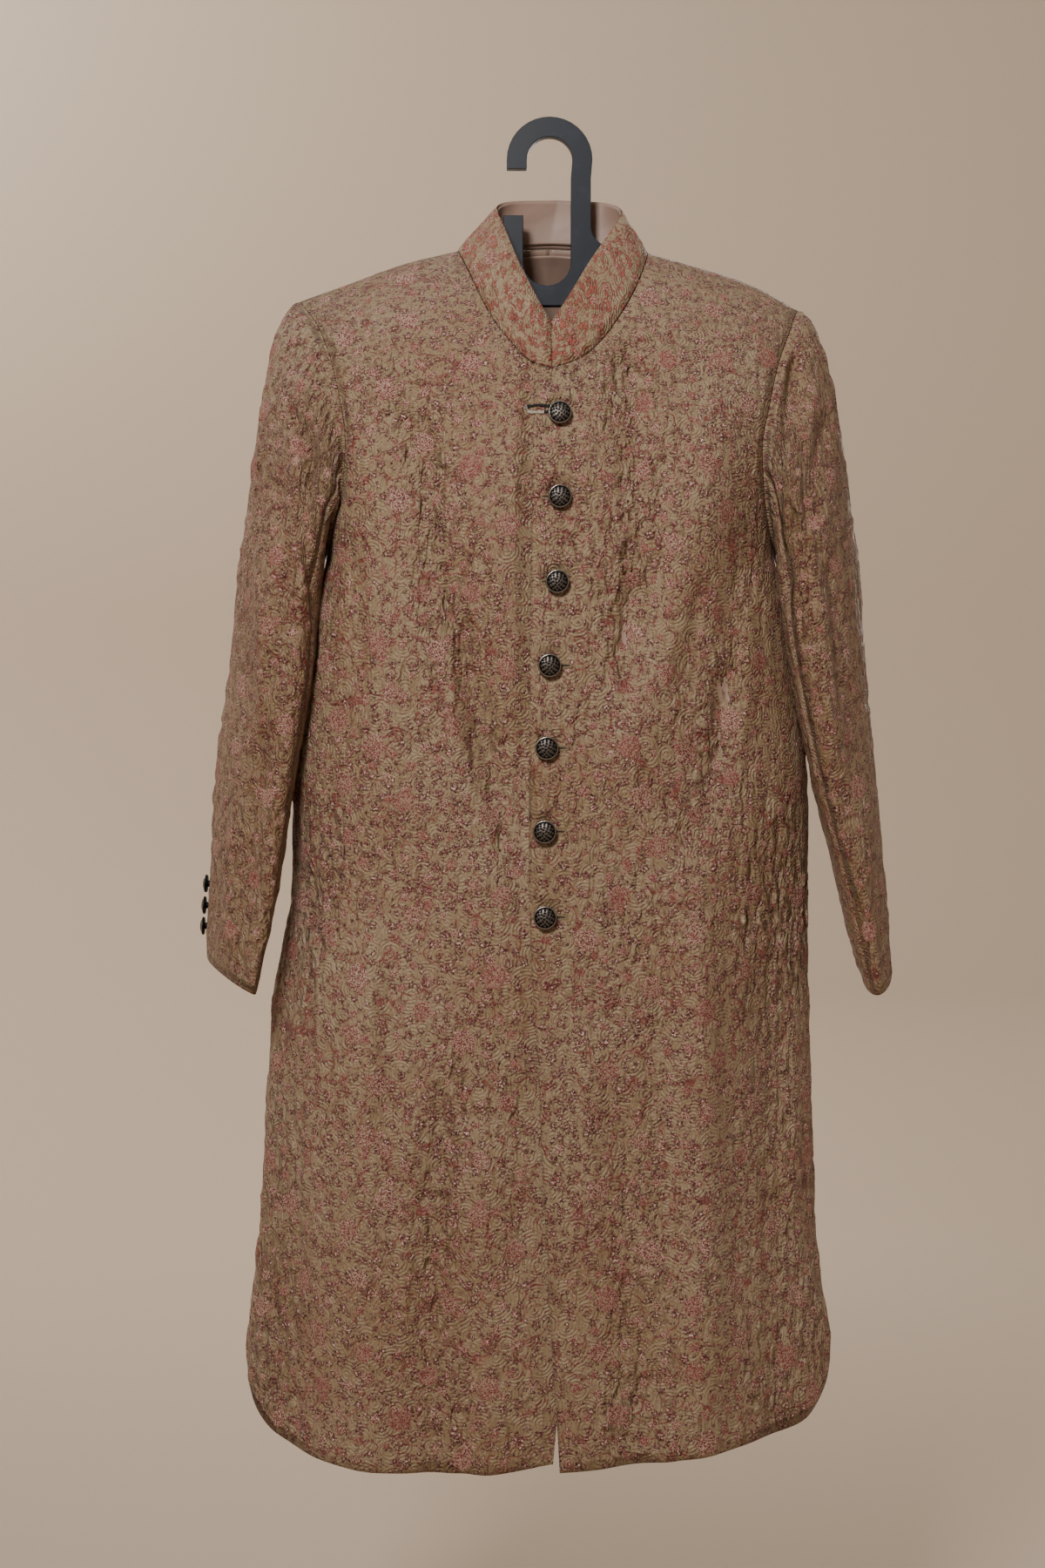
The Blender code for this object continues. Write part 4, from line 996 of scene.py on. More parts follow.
# %% Silk colours and motifs
GROUND = (0.345, 0.262, 0.168)
GROUND_WARM = (0.285, 0.195, 0.108)
THREADS = (
    (0.438, (0.028, 0.009, 0.010)),
    (0.480, (0.225, 0.046, 0.038)),
    (0.524, (0.390, 0.152, 0.122)),
    (0.568, (0.740, 0.570, 0.485)),
)
MOTIFS = table(
    "shift_x  shift_y  cell  radius  petals  share",
    (0.7, 0.2, 0.0150, 0.0044, 5, 0.80),
    (0.1, 0.9, 0.0082, 0.0022, 4, 0.75),
    (0.4, 0.5, 0.0115, 0.0036, 5, 0.80),
)
COLLAR_RED = (0.370, 0.070, 0.048)
OUTLINE_THREAD = (0.150, 0.025, 0.030)
STEM_THREAD = (0.215, 0.050, 0.048)
# painted shade: the tint that darkens the sleeves' silk below their caps
PAINTED_SHADE_TINT = (0.80, 0.73, 0.66)


# %% Strokes of thread
def thread_colour(tree, place, scale, seed):
    """Colour of a stroke of thread: dark, red, pink or pale by a fine noise."""
    fine = noise(tree, shifted(tree, place, (seed, 0.3, 0)), scale, 2.0, 0.6, 0.5)
    ramp = wired(tree, "ShaderNodeValToRGB", None, Fac=fine)
    stops = ramp.color_ramp.elements
    stops.remove(stops[1])
    for number, (position, colour) in enumerate(THREADS):
        stop = stops[0] if number == 0 else stops.new(position)
        stop.position = position
        stop.color = (*colour, 1)
    return ramp.outputs["Color"], fine


def curly_strokes(tree, place, scale):
    """Mask of short curly strokes: the two banks of a smooth noise's middle line, a millimetre wide."""
    wander = noise(tree, place, scale, 1.0, 0.4, 0.8)
    bank = calc(tree, "ABSOLUTE", calc(tree, "SUBTRACT", wander, 0.5))
    return step_between(tree, bank, 0.155, 0.105)


# %% Motifs
def blossom(tree, cloth, motif, ragged):
    """Masks of flowers and of their outlines: one in some cells of a size, with a radius, in metres."""
    place = shifted(tree, cloth, (motif["shift_x"], motif["shift_y"], 0))
    found = cells(tree, place, 1 / motif["cell"])
    arm = vector(tree, "SUBTRACT", place, found.outputs["Position"])
    flat = wired(tree, "ShaderNodeSeparateXYZ", None, Vector=arm)
    away = calc(tree, "SQRT", calc(
        tree,
        "ADD",
        calc(tree, "MULTIPLY", flat.outputs[0], flat.outputs[0]),
        calc(tree, "MULTIPLY", flat.outputs[1], flat.outputs[1]),
    ))
    split = wired(tree, "ShaderNodeSeparateColor", None, Color=found.outputs["Color"])
    turn = calc(tree, "ARCTAN2", flat.outputs[1], flat.outputs[0])
    turn = calc(tree, "MULTIPLY", turn, float(motif["petals"]))
    turn = calc(tree, "ADD", turn, calc(tree, "MULTIPLY", split.outputs[1], 6.28))
    lobes = calc(tree, "MULTIPLY", calc(tree, "COSINE", turn), 0.20)
    grown = calc(tree, "MULTIPLY", split.outputs[2], 0.45)
    rim = calc(tree, "ADD", calc(tree, "ADD", lobes, grown), calc(tree, "MULTIPLY", ragged, 0.7))
    reach = calc(tree, "DIVIDE", away, motif["radius"])
    inward = calc(tree, "SUBTRACT", reach, rim)
    spot = step_between(tree, inward, 0.60, 0.42)
    spot = calc(tree, "MULTIPLY", spot, calc(tree, "LESS_THAN", split.outputs[0], motif["share"]))
    return spot, calc(tree, "MULTIPLY", spot, step_between(tree, inward, 0.02, 0.34))


def stem_lines(tree, place, seed, scale, width):
    """Thin winding lines: where a smooth noise is at its middle value."""
    wander = noise(tree, shifted(tree, place, (seed, 0.6, 0)), scale, 1.0)
    away = calc(tree, "ABSOLUTE", calc(tree, "SUBTRACT", wander, 0.5))
    return step_between(tree, away, width, 0.4 * width)


# %% Embroidered silk material
def embroidered_silk():
    """Silk ground with speckled motifs, stems, quilted relief and a fine weave."""
    paint, shader = surface("embroidered silk", GROUND, 0.50)
    tree = paint.node_tree
    uv = cloth_place(tree)
    place = warped(tree, uv, 60.0, 0.0018)
    ragged = calc(tree, "SUBTRACT", noise(tree, uv, 480.0, 2.0, 0.6), 0.5)
    density = noise(tree, shifted(tree, uv, (3, 5, 0), (1, 0.45, 1)), 13.0, 2.0)
    sewn = [blossom(tree, place, motif, ragged) for motif in MOTIFS]
    (small, small_edge), (buds, bud_edge), (more, more_edge) = sewn
    more = calc(tree, "MULTIPLY", more, step_between(tree, density, 0.44, 0.52))
    stems = calc(
        tree,
        "MAXIMUM",
        stem_lines(tree, place, 0.2, 34.0, 0.019),
        calc(tree, "MULTIPLY", stem_lines(tree, place, 0.9, 60.0, 0.019), 0.7),
    )
    stroke = curly_strokes(tree, shifted(tree, uv, (0.8, 0, 0)), 330.0)
    masks = calc(tree, "MAXIMUM", calc(tree, "MAXIMUM", small, buds), more)
    covered = calc(tree, "MULTIPLY", masks, stroke)
    loose = step_between(tree, noise(tree, shifted(tree, uv, (0.3, 0.7, 0)), 420.0, 1.0, 0.5), 0.63, 0.66)
    covered = calc(tree, "MAXIMUM", covered, calc(tree, "MULTIPLY", loose, 0.8))
    colour, _ = thread_colour(tree, uv, 470.0, 0.6)
    outline = calc(tree, "MAXIMUM", calc(tree, "MAXIMUM", small_edge, bud_edge), more_edge)
    colour = blend(tree, calc(tree, "MULTIPLY", outline, 0.75), colour, OUTLINE_THREAD)
    hue = step_between(tree, noise(tree, uv, 21.0, 1.0), 0.42, 0.60)
    colour = blend(tree, calc(tree, "MULTIPLY", hue, 0.22), colour, THREADS[1][1])
    reds = point_value(tree, "reds")
    colour = blend(tree, reds, colour, COLLAR_RED)
    slub = noise(tree, shifted(tree, uv, (0, 0, 0), (1, 9, 1)), 190.0, 2.0, 0.6)
    shade = calc(tree, "MULTIPLY", noise(tree, uv, 7.0, 2.0), 0.9)
    shade = calc(tree, "ADD", shade, calc(tree, "MULTIPLY", slub, 0.35))
    ground = blend(tree, step_between(tree, shade, 0.35, 0.90), GROUND_WARM, GROUND)
    worked = calc(tree, "MULTIPLY", calc(tree, "MULTIPLY", stems, stroke), 0.9)
    ground = blend(tree, worked, ground, STEM_THREAD)
    base = blend(tree, calc(tree, "MULTIPLY", covered, 0.95), ground, colour)
    # painted shade: a piece's attribute says how far the tint darkens the colour, on the sleeves
    painted_shade = point_value(tree, "painted_shade")
    base = tinted(tree, painted_shade, base, PAINTED_SHADE_TINT)
    rough = calc(tree, "ADD", 0.38, calc(tree, "MULTIPLY", covered, 0.18))
    plug(tree, shader, Base_Color=base, Roughness=rough, Specular_IOR_Level=0.45)
    plug(tree, shader, Sheen_Weight=0.06, Sheen_Roughness=0.38, Sheen_Tint=(0.95, 0.86, 0.76, 1))
    slack = point_value(tree, "slack")
    tall = shifted(tree, place, (0.5, 0.1, 0), (1, 0.42, 1))
    quilt = noise(tree, tall, 105.0, 1.5, 0.5, 0.6)
    narrow = shifted(tree, place, (0.2, 0.8, 0), (1, 0.24, 1))
    wrinkles = calc(tree, "MULTIPLY", noise(tree, narrow, 200.0, 1.0), slack)
    curls = cells(tree, shifted(tree, place, (0.9, 0.4, 0)), 46.0).outputs["Distance"]
    cords = calc(tree, "SINE", calc(tree, "MULTIPLY", curls, 42.0))
    weave = noise(tree, shifted(tree, uv, (0, 0, 0), (1, 3.5, 1)), 1500.0, 1.0)
    layers = (
        (calc(tree, "MULTIPLY", quilt, slack), 0.0125),
        (wrinkles, 0.0034),
        (cords, 0.00030),
        (masks, 0.0010),
        (covered, 0.0011),
        (weave, 0.00018),
    )
    relief(tree, shader, *layers)
    return paint


# %% Thread of the raised flowers
def flower_thread():
    """The same speckled thread for the raised flowers, redder or paler flower by flower."""
    paint, shader = surface("flower thread", THREADS[2][1], 0.62)
    tree = paint.node_tree
    place = object_place(tree)
    tone = point_value(tree, "tone")
    colour, fine = thread_colour(tree, place, 760.0, 0.5)
    gaps = calc(tree, "SUBTRACT", 1.0, curly_strokes(tree, shifted(tree, place, (0.8, 0, 0)), 430.0))
    redder = calc(tree, "ADD", calc(tree, "MULTIPLY", tone, 0.45), 0.28)
    base = blend(tree, redder, colour, THREADS[1][1])
    base = blend(tree, calc(tree, "MULTIPLY", gaps, 0.9), base, GROUND)
    plug(tree, shader, Base_Color=base, Sheen_Weight=0.04, Sheen_Roughness=0.4)
    relief(tree, shader, (fine, 0.0011))
    return paint


# %% [markdown]
# ## Satin lining, plastic, metal and sewing thread
#
# The lining is a plain mauve-brown satin, glossier across its weave than along it. The hanger is moulded
# plastic with a fine grain. The buttons are antiqued metal: dark in the hollows and rubbed bright on what
# stands proud, which their own relief attribute tells.

# %% Lining and plastic
SATIN = (0.360, 0.242, 0.196)
SLATE = (0.011, 0.016, 0.028)


def satin_lining():
    """Smooth satin with a faint cross weave."""
    paint, shader = surface("satin lining", SATIN, 0.38)
    tree = paint.node_tree
    uv = cloth_place(tree)
    threads = noise(tree, shifted(tree, uv, (0, 0, 0), (1, 8, 1)), 900.0, 2.0)
    shade = noise(tree, uv, 26.0, 2.0)
    dark = tuple(0.86 * part for part in SATIN)
    base = blend(tree, step_between(tree, shade, 0.35, 0.65), dark, SATIN)
    plug(tree, shader, Base_Color=base, Sheen_Weight=0.25, Sheen_Roughness=0.35)
    relief(tree, shader, (threads, 0.00012))
    return paint


def moulded_plastic():
    """Dark slate plastic with a fine moulded grain and a few scuffs."""
    paint, shader = surface("moulded slate plastic", SLATE, 0.42)
    tree = paint.node_tree
    place = object_place(tree)
    grain = noise(tree, place, 1400.0, 2.0)
    scuffs = noise(tree, place, 60.0, 4.0, 0.65)
    pale = tuple(1.5 * part for part in SLATE)
    worn = step_between(tree, scuffs, 0.52, 0.72)
    rough = calc(tree, "ADD", 0.36, calc(tree, "MULTIPLY", worn, 0.16))
    base = blend(tree, worn, SLATE, pale)
    plug(tree, shader, Base_Color=base, Roughness=rough, Specular_IOR_Level=0.28)
    relief(tree, shader, (grain, 0.00006))
    return paint


# %% Antique metal and thread
METAL_DARK = (0.012, 0.010, 0.010)
METAL_BRIGHT = (0.34, 0.30, 0.27)


def antique_metal():
    """Blackened metal, bright where the relief attribute says that it stands proud."""
    paint, shader = surface("antique metal", METAL_DARK, 0.36, 0.85)
    tree = paint.node_tree
    place = object_place(tree)
    proud = point_value(tree, "relief")
    worn = noise(tree, place, 900.0, 3.0, 0.6)
    level = calc(tree, "ADD", proud, calc(tree, "MULTIPLY", calc(tree, "SUBTRACT", worn, 0.5), 0.4))
    bright = step_between(tree, level, 0.32, 1.02)
    rough = calc(tree, "SUBTRACT", 0.52, calc(tree, "MULTIPLY", bright, 0.24))
    plug(tree, shader, Base_Color=blend(tree, bright, METAL_DARK, METAL_BRIGHT), Roughness=rough)
    relief(tree, shader, (worn, 0.00010))
    return paint


def sewing_thread(name, colour):
    """Twisted thread of one colour."""
    paint, shader = surface(name, colour, 0.7)
    tree = paint.node_tree
    place = object_place(tree)
    twist = noise(tree, place, 2600.0, 2.0)
    dark = tuple(0.55 * part for part in colour)
    plug(tree, shader, Base_Color=blend(tree, step_between(tree, twist, 0.35, 0.6), dark, colour))
    relief(tree, shader, (twist, 0.00015))
    return paint


silk = embroidered_silk()
thread = flower_thread()
satin = satin_lining()
plastic = moulded_plastic()
metal = antique_metal()
print("materials:", [paint.name for paint in (silk, satin, plastic, metal)])


# %% [markdown]
# ## From a grid to a cut piece of cloth
#
# A panel is a thin closed shell: a fine outer face that carries the folds and puckers, and a smoother
# lining face behind it with a quarter of the cells, since nobody looks for small creases inside. The two
# are stitched together along the rim. Each panel has its own UV map in metres of cloth, so that weave and
# thread keep their real size everywhere.

# %% Smooth random hills
HASH_FACTORS = (374761393, 668265263, 974634777)
HASH_SPREAD = 1274126177
HASH_MASK = 0x7FFFFFFF


def hills(seed, u, v, cell_u, cell_v):
    """Smooth noise from 0 to 1 on a lattice whose cells are cell_u by cell_v."""
    a, b = u / cell_u, v / cell_v
    ia, ib = np.floor(a).astype(np.int64), np.floor(b).astype(np.int64)
    fa, fb = a - ia, b - ib
    fa, fb = fa * fa * (3 - 2 * fa), fb * fb * (3 - 2 * fb)

    def corner(i, j):
        mixed = sum(part * factor for part, factor in zip((i, j, seed), HASH_FACTORS)) & HASH_MASK
        mixed = ((mixed ^ (mixed >> 13)) * HASH_SPREAD) & HASH_MASK
        return ((mixed ^ (mixed >> 16)) & 0xFFFF) / 65535

    low = corner(ia, ib) * (1 - fa) + corner(ia + 1, ib) * fa
    high = corner(ia, ib + 1) * (1 - fa) + corner(ia + 1, ib + 1) * fa
    return low * (1 - fb) + high * fb


# %% Puckers of the embroidered silk
PUCKERS = table(
    "wide  tall  height  mean",
    (11.0, 27.0, 2.8, 0.26),
    (6.0, 14.0, 1.4, 0.26),
)
VALLEY_ROUND = 0.22
DIMPLE_SIZE = 10.0
DIMPLE_HEIGHT = 0.6
LEAN_SWAY = 9
LEAN_CELL = (60, 70)


def puckers(seed, u, v):
    """How far the cloth puffs up between its stitches, in millimetres, at u, v millimetres of cloth."""
    lean = u + LEAN_SWAY * (hills(seed + 7, u, v, *LEAN_CELL) - 0.5) + 2 * np.sin(v / 31)
    total = DIMPLE_HEIGHT * (hills(seed + 5, u, v, DIMPLE_SIZE, DIMPLE_SIZE) - 0.5)
    for number, row in enumerate(PUCKERS):
        swell = 2 * hills(seed + number, lean, v, row["wide"], row["tall"]) - 1
        puff = np.sqrt(swell ** 2 + VALLEY_ROUND ** 2) - VALLEY_ROUND
        total = total + row["height"] * (puff - row["mean"])
    return total


# %% Lengths over a grid of points
def lengths(points, axis):
    """Running length along one axis of a grid of points, starting at 0."""
    steps = np.linalg.norm(np.diff(points, axis=axis), axis=-1)
    start = np.zeros_like(np.take(steps, [0], axis=axis))
    return np.concatenate([start, np.cumsum(steps, axis=axis)], axis=axis)


def edge_distance(points):
    """Distance along the cloth from each grid point to the nearest of the grid's four edges."""
    across, up = lengths(points, 1), lengths(points, 0)
    sides = (across, across[:, -1:] - across, up, up[-1:] - up)
    return np.minimum.reduce(sides)


# %% Faces of a shell
def quads_of(keep, columns, offset):
    """Corner numbers of the kept cells of a grid whose points start at offset."""
    i, j = np.nonzero(keep)
    first = i * columns + j + offset
    return np.stack([first, first + 1, first + columns + 1, first + columns], axis=1)


def rim_of(keep, columns, inner_columns, offset):
    """Triangles that join a fine grid to one with half its cells, round the edge of the kept cells."""
    padded = np.pad(keep, 1)
    height, width = keep.shape
    sides = (
        ((-1, 0), (0, 0), (0, 1)),
        ((0, 1), (0, 1), (1, 1)),
        ((1, 0), (1, 1), (1, 0)),
        ((0, -1), (1, 0), (0, 0)),
    )
    found = []
    for (down, aside), start, end in sides:
        beside = padded[1 + down:1 + down + height, 1 + aside:1 + aside + width]
        i, j = np.nonzero(keep & ~beside)
        fine = [2 * (i + a) * columns + 2 * (j + b) for a, b in (start, end)]
        coarse = [offset + (i + a) * inner_columns + j + b for a, b in (start, end)]
        middle = (fine[0] + fine[1]) // 2
        found.append(np.stack([fine[0], coarse[0], middle], axis=1))
        found.append(np.stack([middle, coarse[0], coarse[1]], axis=1))
        found.append(np.stack([middle, coarse[1], fine[1]], axis=1))
    return np.concatenate(found)


def cloth_area(points, keep):
    """Area of the kept cells of a grid in millimetres, in square metres."""
    one = np.cross(points[:-1, 1:] - points[:-1, :-1], points[1:, :-1] - points[:-1, :-1])
    two = np.cross(points[1:, :-1] - points[1:, 1:], points[:-1, 1:] - points[1:, 1:])
    areas = (np.linalg.norm(one, axis=-1) + np.linalg.norm(two, axis=-1)) / 2
    return float(areas[keep].sum()) * MM * MM


def shell(name, outer, inner, out, keep, uv, values, paints):
    """Closed shell from a fine outer grid and an inner grid with half as many cells each way.

    keep marks the inner grid's cells that are cloth, uv is in metres, and values are named numbers of
    the outer grid's points, which are -1 on the inner face.
    """
    columns, inner_columns = outer.shape[1], inner.shape[1]
    offset = outer.shape[0] * columns
    fine_keep = np.repeat(np.repeat(keep, 2, axis=0), 2, axis=1)
    fronts = quads_of(fine_keep, columns, 0)
    backs = quads_of(keep, inner_columns, offset)[:, ::-1]
    rims = rim_of(keep, columns, inner_columns, offset)
    points = np.concatenate([outer.reshape(-1, 3), inner.reshape(-1, 3)]) * MM
    corner = points[fronts[:, 0]]
    facing = np.cross(points[fronts[:, 1]] - corner, points[fronts[:, 3]] - corner)
    turned_in = (facing * out.reshape(-1, 3)[fronts[:, 0]]).sum() < 0
    order = slice(None, None, -1 if turned_in else 1)
    used = np.zeros(len(points), bool)
    for group in (fronts, backs, rims):
        used[group] = True
    number = np.cumsum(used) - 1
    faces = []
    for group in (fronts, backs, rims):
        faces += number[group[:, order]].tolist()
    mesh = bpy.data.meshes.new(name)
    mesh.from_pydata(points[used].tolist(), [], faces)
    corners = np.empty(len(mesh.loops), np.int32)
    mesh.loops.foreach_get("vertex_index", corners)
    all_uv = np.concatenate([uv.reshape(-1, 2), uv[::2, ::2].reshape(-1, 2)])[used]
    mesh.uv_layers.new(name="cloth").data.foreach_set("uv", all_uv[corners].ravel())
    hidden = np.full(inner.shape[:2], -1.0)
    for key, value in values.items():
        every = np.concatenate([value.ravel(), hidden.ravel()])[used]
        mesh.attributes.new(key, "FLOAT", "POINT").data.foreach_set("value", every)
    for paint in paints:
        mesh.materials.append(paint)
    slots = np.zeros(len(faces), np.int32)
    slots[len(fronts):len(fronts) + len(backs)] = 1
    mesh.polygons.foreach_set("material_index", slots)
    mesh.polygons.foreach_set("use_smooth", np.ones(len(faces), bool))
    mesh.update()
    made = placed(name, mesh)
    triangles = 2 * (len(fronts) + len(backs)) + len(rims)
    cloth = cloth_area(outer, fine_keep)
    print(name, "triangles:", triangles, "cloth:", round(cloth, 4), "m2")
    return made


# %% [markdown]
# ## Body panels
#
# Four cut pieces make the body: two fronts, the wearer's left one lapping over the right, and two back
# panels with a seam down the middle. Each is sampled every three or four millimetres from the coat's form,
# then puffed out by its puckers, which fade at the seams, under the buttons and where the cloth is pressed
# flat.

# %% Body panels
SHELL_WALL = 1.7
SEAM_ROLL = 0.9
SEAM_REACH = 3.0
PUCKER_FADE = 9.0
CELLS_ACROSS = 50
CELLS_UP = 145
STRIP_CELLS = 6
BUTTON_FLAT = (9.1, 20.8)
PATCH_CELL = (70, 110)
PATCH_LEAST = 0.55
PATCH_SPAN = 0.75
SLACK_LEAST = 0.42
SLACK_SPAN = 0.72
CREST = 2.5
TROUGH = -7.0
SECTION_DEPTH = 0.42

button_spots = []
for name in frame["nodes"]:
    if "button" in name:
        low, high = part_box(name)
        button_spots.append([(a + b) / 2 / MM for a, b in zip(low, high)])
button_spots = np.array(button_spots)


def near_buttons(points):
    """1 away from the buttons, falling to 0 under each."""
    rest = np.ones(points.shape[:-1])
    for spot in button_spots:
        away = np.linalg.norm(points - spot, axis=-1)
        rest = rest * ease(*BUTTON_FLAT, away)
    return rest


def grid_normals(points, toward):
    """Unit normals of a grid of points, on the side that toward points to."""
    out = unit(np.cross(np.gradient(points, axis=1), np.gradient(points, axis=0)))
    return out * np.sign((out * toward).sum())


def flat_place(points):
    """Cloth coordinates of points of the coat's body: round the section and down from the shoulders."""
    x, z = points[..., 0], points[..., 2]
    middle, half = section(z)
    reach = np.clip(np.abs(x - middle) / half, 0, 1)
    line = np.sin(np.linspace(0, np.pi / 2, 200))
    bulge = SECTION_DEPTH * (1 - line ** ROUNDNESS) ** (1 / ROUNDNESS)
    round_it = np.concatenate([[0], np.cumsum(np.hypot(np.diff(line), np.diff(bulge)))])
    falls = np.linspace(0, FRONT_FALL, 200)
    depth = SECTION_DEPTH * 2 * FRONT_FALL * (1 - (1 - falls / FRONT_FALL) ** 2) ** SHOULDER_EASE
    down = np.concatenate([[0], np.cumsum(np.hypot(np.diff(falls), np.diff(depth)))])
    drop = along(RIDGE, "x", "z", x) - z
    u = middle + half * np.sign(x - middle) * np.interp(reach, line, round_it)
    v = z - np.interp(drop, falls, down - falls)
    return u, v


def slack(points, face):
    """How far the cloth is let go to pucker: least on the crests of the folds, most in their troughs."""
    rows = FRONT_FOLDS + FRONT_CREASES if face < 0 else BACK_FOLDS + BACK_CREASES
    height = fold_height(points[..., 0], points[..., 2], rows)
    return SLACK_LEAST + SLACK_SPAN * ease(CREST, TROUGH, height)


def finish_panel(name, base, out, keep, seed, place, paints, strength=0.72, shown=1.0, painted_shade=0.0, reds=0.0):
    """Puckers the outer face of a panel, lays its lining face and closes the shell.

    shown is 0 where another piece hides the face; the shade argument after it says how far painted shade
    darkens the silk, and reds how red its thread is.
    """
    border = edge_distance(base)
    u, v = place
    patch = PATCH_LEAST + PATCH_SPAN * hills(seed + 11, u, v, *PATCH_CELL)
    weight = strength * patch * ease(1.0, PUCKER_FADE, border) * near_buttons(base) * shown
    roll = SEAM_ROLL * np.exp(-(border / SEAM_REACH) ** 2)
    outer = base + out * (puckers(seed, u, v) * weight - roll)[..., None]
    inner = (base - out * SHELL_WALL)[::2, ::2]
    uv = np.stack([u * MM + seed * 1.37, v * MM], axis=-1)
    values = {"border": border * shown, "slack": weight, "painted_shade": painted_shade + 0 * border, "reds": reds + 0 * border}
    return shell(name, outer, inner, out, keep, uv, values, paints)


def halves(values):
    """Values with their midpoints between them."""
    values = np.asarray(values, float)
    return np.insert(values, np.arange(1, len(values)), (values[:-1] + values[1:]) / 2)


def front_panel(side, paints):
    """One front, from hem to shoulder; the wearer's right one carries on under the lap."""
    columns = np.linspace(0, 1, CELLS_ACROSS + 1)
    if side < 0:
        columns = np.concatenate([np.linspace(-1, 0, STRIP_CELLS + 1)[:-1], columns])
    rows = panel_rows()
    across, row = np.meshgrid(halves(columns), halves(rows))
    base = front_point(side, across, row)
    out = grid_normals(base, (0, -1, 0))
    out[-1] = unit(out[-1] * (1, 0, 1))
    keep = np.ones((len(rows) - 1, len(columns) - 1), bool)
    keep[np.ix_(rows[:-1] > NECK_ROW - 0.001, columns[:-1] < 0)] = False
    shown = ease(0.0, 0.07, across) if side < 0 else 1.0
    name = "silk_front_" + side_name(side)
    return finish_panel(name, base, out, keep, 3 + side, flat_place(base), paints, slack(base, -1), shown)


def panel_rows():
    """Rows of a body panel: even above and below the neckline's foot, which has a row of its own."""
    below = round(CELLS_UP * NECK_ROW)
    low = np.linspace(0, NECK_ROW, below + 1)
    high = np.linspace(NECK_ROW, 1, CELLS_UP - below + 1)
    return np.concatenate([low, high[1:]])


def back_layer(side, across, row):
    """Points and normals of the outer face of a back panel."""
    points = back_point(side, across, row)
    out = grid_normals(points, (0, 1, 0))
    seam = np.isclose(row, 1) & (across >= BACK_NECK_SHARE)
    return points, np.where(seam[..., None], unit(out * (1, 0, 1)), out)


def back_panel(side, paints):
    """One back panel, from hem to shoulder."""
    columns = np.linspace(0, 1, CELLS_ACROSS + 1)
    rows = panel_rows()
    across, row = np.meshgrid(halves(columns), halves(rows))
    base, out = back_layer(side, across, row)
    keep = np.ones((len(rows) - 1, len(columns) - 1), bool)
    name = "silk_back_" + side_name(side)
    return finish_panel(name, base, out, keep, 8 + side, flat_place(base), paints, slack(base, 1))


# %% [markdown]
# ## Sleeve panels and the collar
#
# The two pieces of a sleeve meet at a front and a back seam, which are lines of constant angle on the
# sleeve's rings. The collar is one band from its right end round the neck to its left end, cut from the
# same silk and stiffened, so it puckers less. Satin faces it on the inside.

# %% Sleeve panels
FRONT_SEAM_ANGLE = 118
BACK_SEAM_ANGLE = 279
SLEEVE_CELLS = {"top": 52, "under": 34}
SLEEVE_CELLS_UP = 110


def sleeve_panel(side, piece, paints):
    """The wide top piece or the narrow under piece of a sleeve."""
    ends = (FRONT_SEAM_ANGLE, BACK_SEAM_ANGLE)
    if piece == "top":
        ends = (BACK_SEAM_ANGLE - 360, FRONT_SEAM_ANGLE)
    columns = np.linspace(*ends, SLEEVE_CELLS[piece] + 1)
    rows = np.linspace(0, 1, SLEEVE_CELLS_UP + 1)
    angle, share = np.meshgrid(halves(columns), halves(rows))
    base, out = sleeve_frame(side, angle, share)
    keep = np.ones((len(rows) - 1, len(columns) - 1), bool)
    seed = 14 + 3 * side + (piece == "top")
    name = f"silk_sleeve_{piece}_{side_name(side)}"
    base, out = base[::-1], out[::-1]
    round_it = lengths(base, 1)
    place = round_it - round_it[:, -1:] / 2, lengths(base, 0)
    # painted shade: the sleeve's silk is darkened from a quarter of the way down
    painted_shade = ease(0.0, 0.25, share[::-1])
    return finish_panel(name, base, out, keep, seed, place, paints, strength=0.85, painted_shade=painted_shade)


# %% Collar band and its satin
COLLAR_END_GAP = 0.25
COLLAR_WALL = 2.4
LINING_WALL = 1.2
COLLAR_CELLS = 46
COLLAR_CELLS_UP = 12


def collar_grid(depth, ups):
    """Points and normals of a collar layer from its right end round the back to its left end."""
    shares = halves(np.linspace(0, 1, COLLAR_CELLS + 1))
    points, outs = [], []
    for side, line in ((-1, shares), (1, shares[::-1][1:])):
        share, up = np.meshgrid(line, ups)
        found, out = collar_frame(side, share, up)
        points.append(found - out * depth)
        outs.append(out)
    points = np.concatenate(points, axis=1)
    for end, beside in ((0, 1), (-1, -2)):
        points[:, end] += unit(points[:, beside] - points[:, end]) * COLLAR_END_GAP
    return points, np.concatenate(outs, axis=1)


def collar_band(paints):
    """Embroidered band of the collar."""
    ups = halves(np.linspace(0, 1, COLLAR_CELLS_UP + 1))
    base, out = collar_grid(0, ups)
    keep = np.ones((COLLAR_CELLS_UP, 2 * COLLAR_CELLS), bool)
    round_it = lengths(base, 1)
    place = round_it / round_it[:, -1:] * round_it[:, -1].mean(), lengths(base, 0)
    return finish_panel("silk_collar", base, out, keep, 23, place, paints, strength=0.35, reds=0.8)


# %% Satin inside the neck
LINING_UPS = (0.10, 0.96)
NECK_LINING_COLUMNS = (0, 0.3125)
NECK_LINING_ROWS = (0.80, 0.995)
NECK_LINING_GAP = 0.6
GATHERS = table(
    "width  lean  height",
    (17.0, 0.35, 0.55),
    (9.0, -0.20, 0.30),
)


def gathers(across, up):
    """Soft pleats of the lining, deepest below the seam that they are gathered into."""
    total = 0.0
    for row in GATHERS:
        bent = across + row["lean"] * up + 6 * hills(41, across, up, 40, 60)
        total = total + row["height"] * (2 * hills(43, bent, up, row["width"], 90) - 1)
    return total


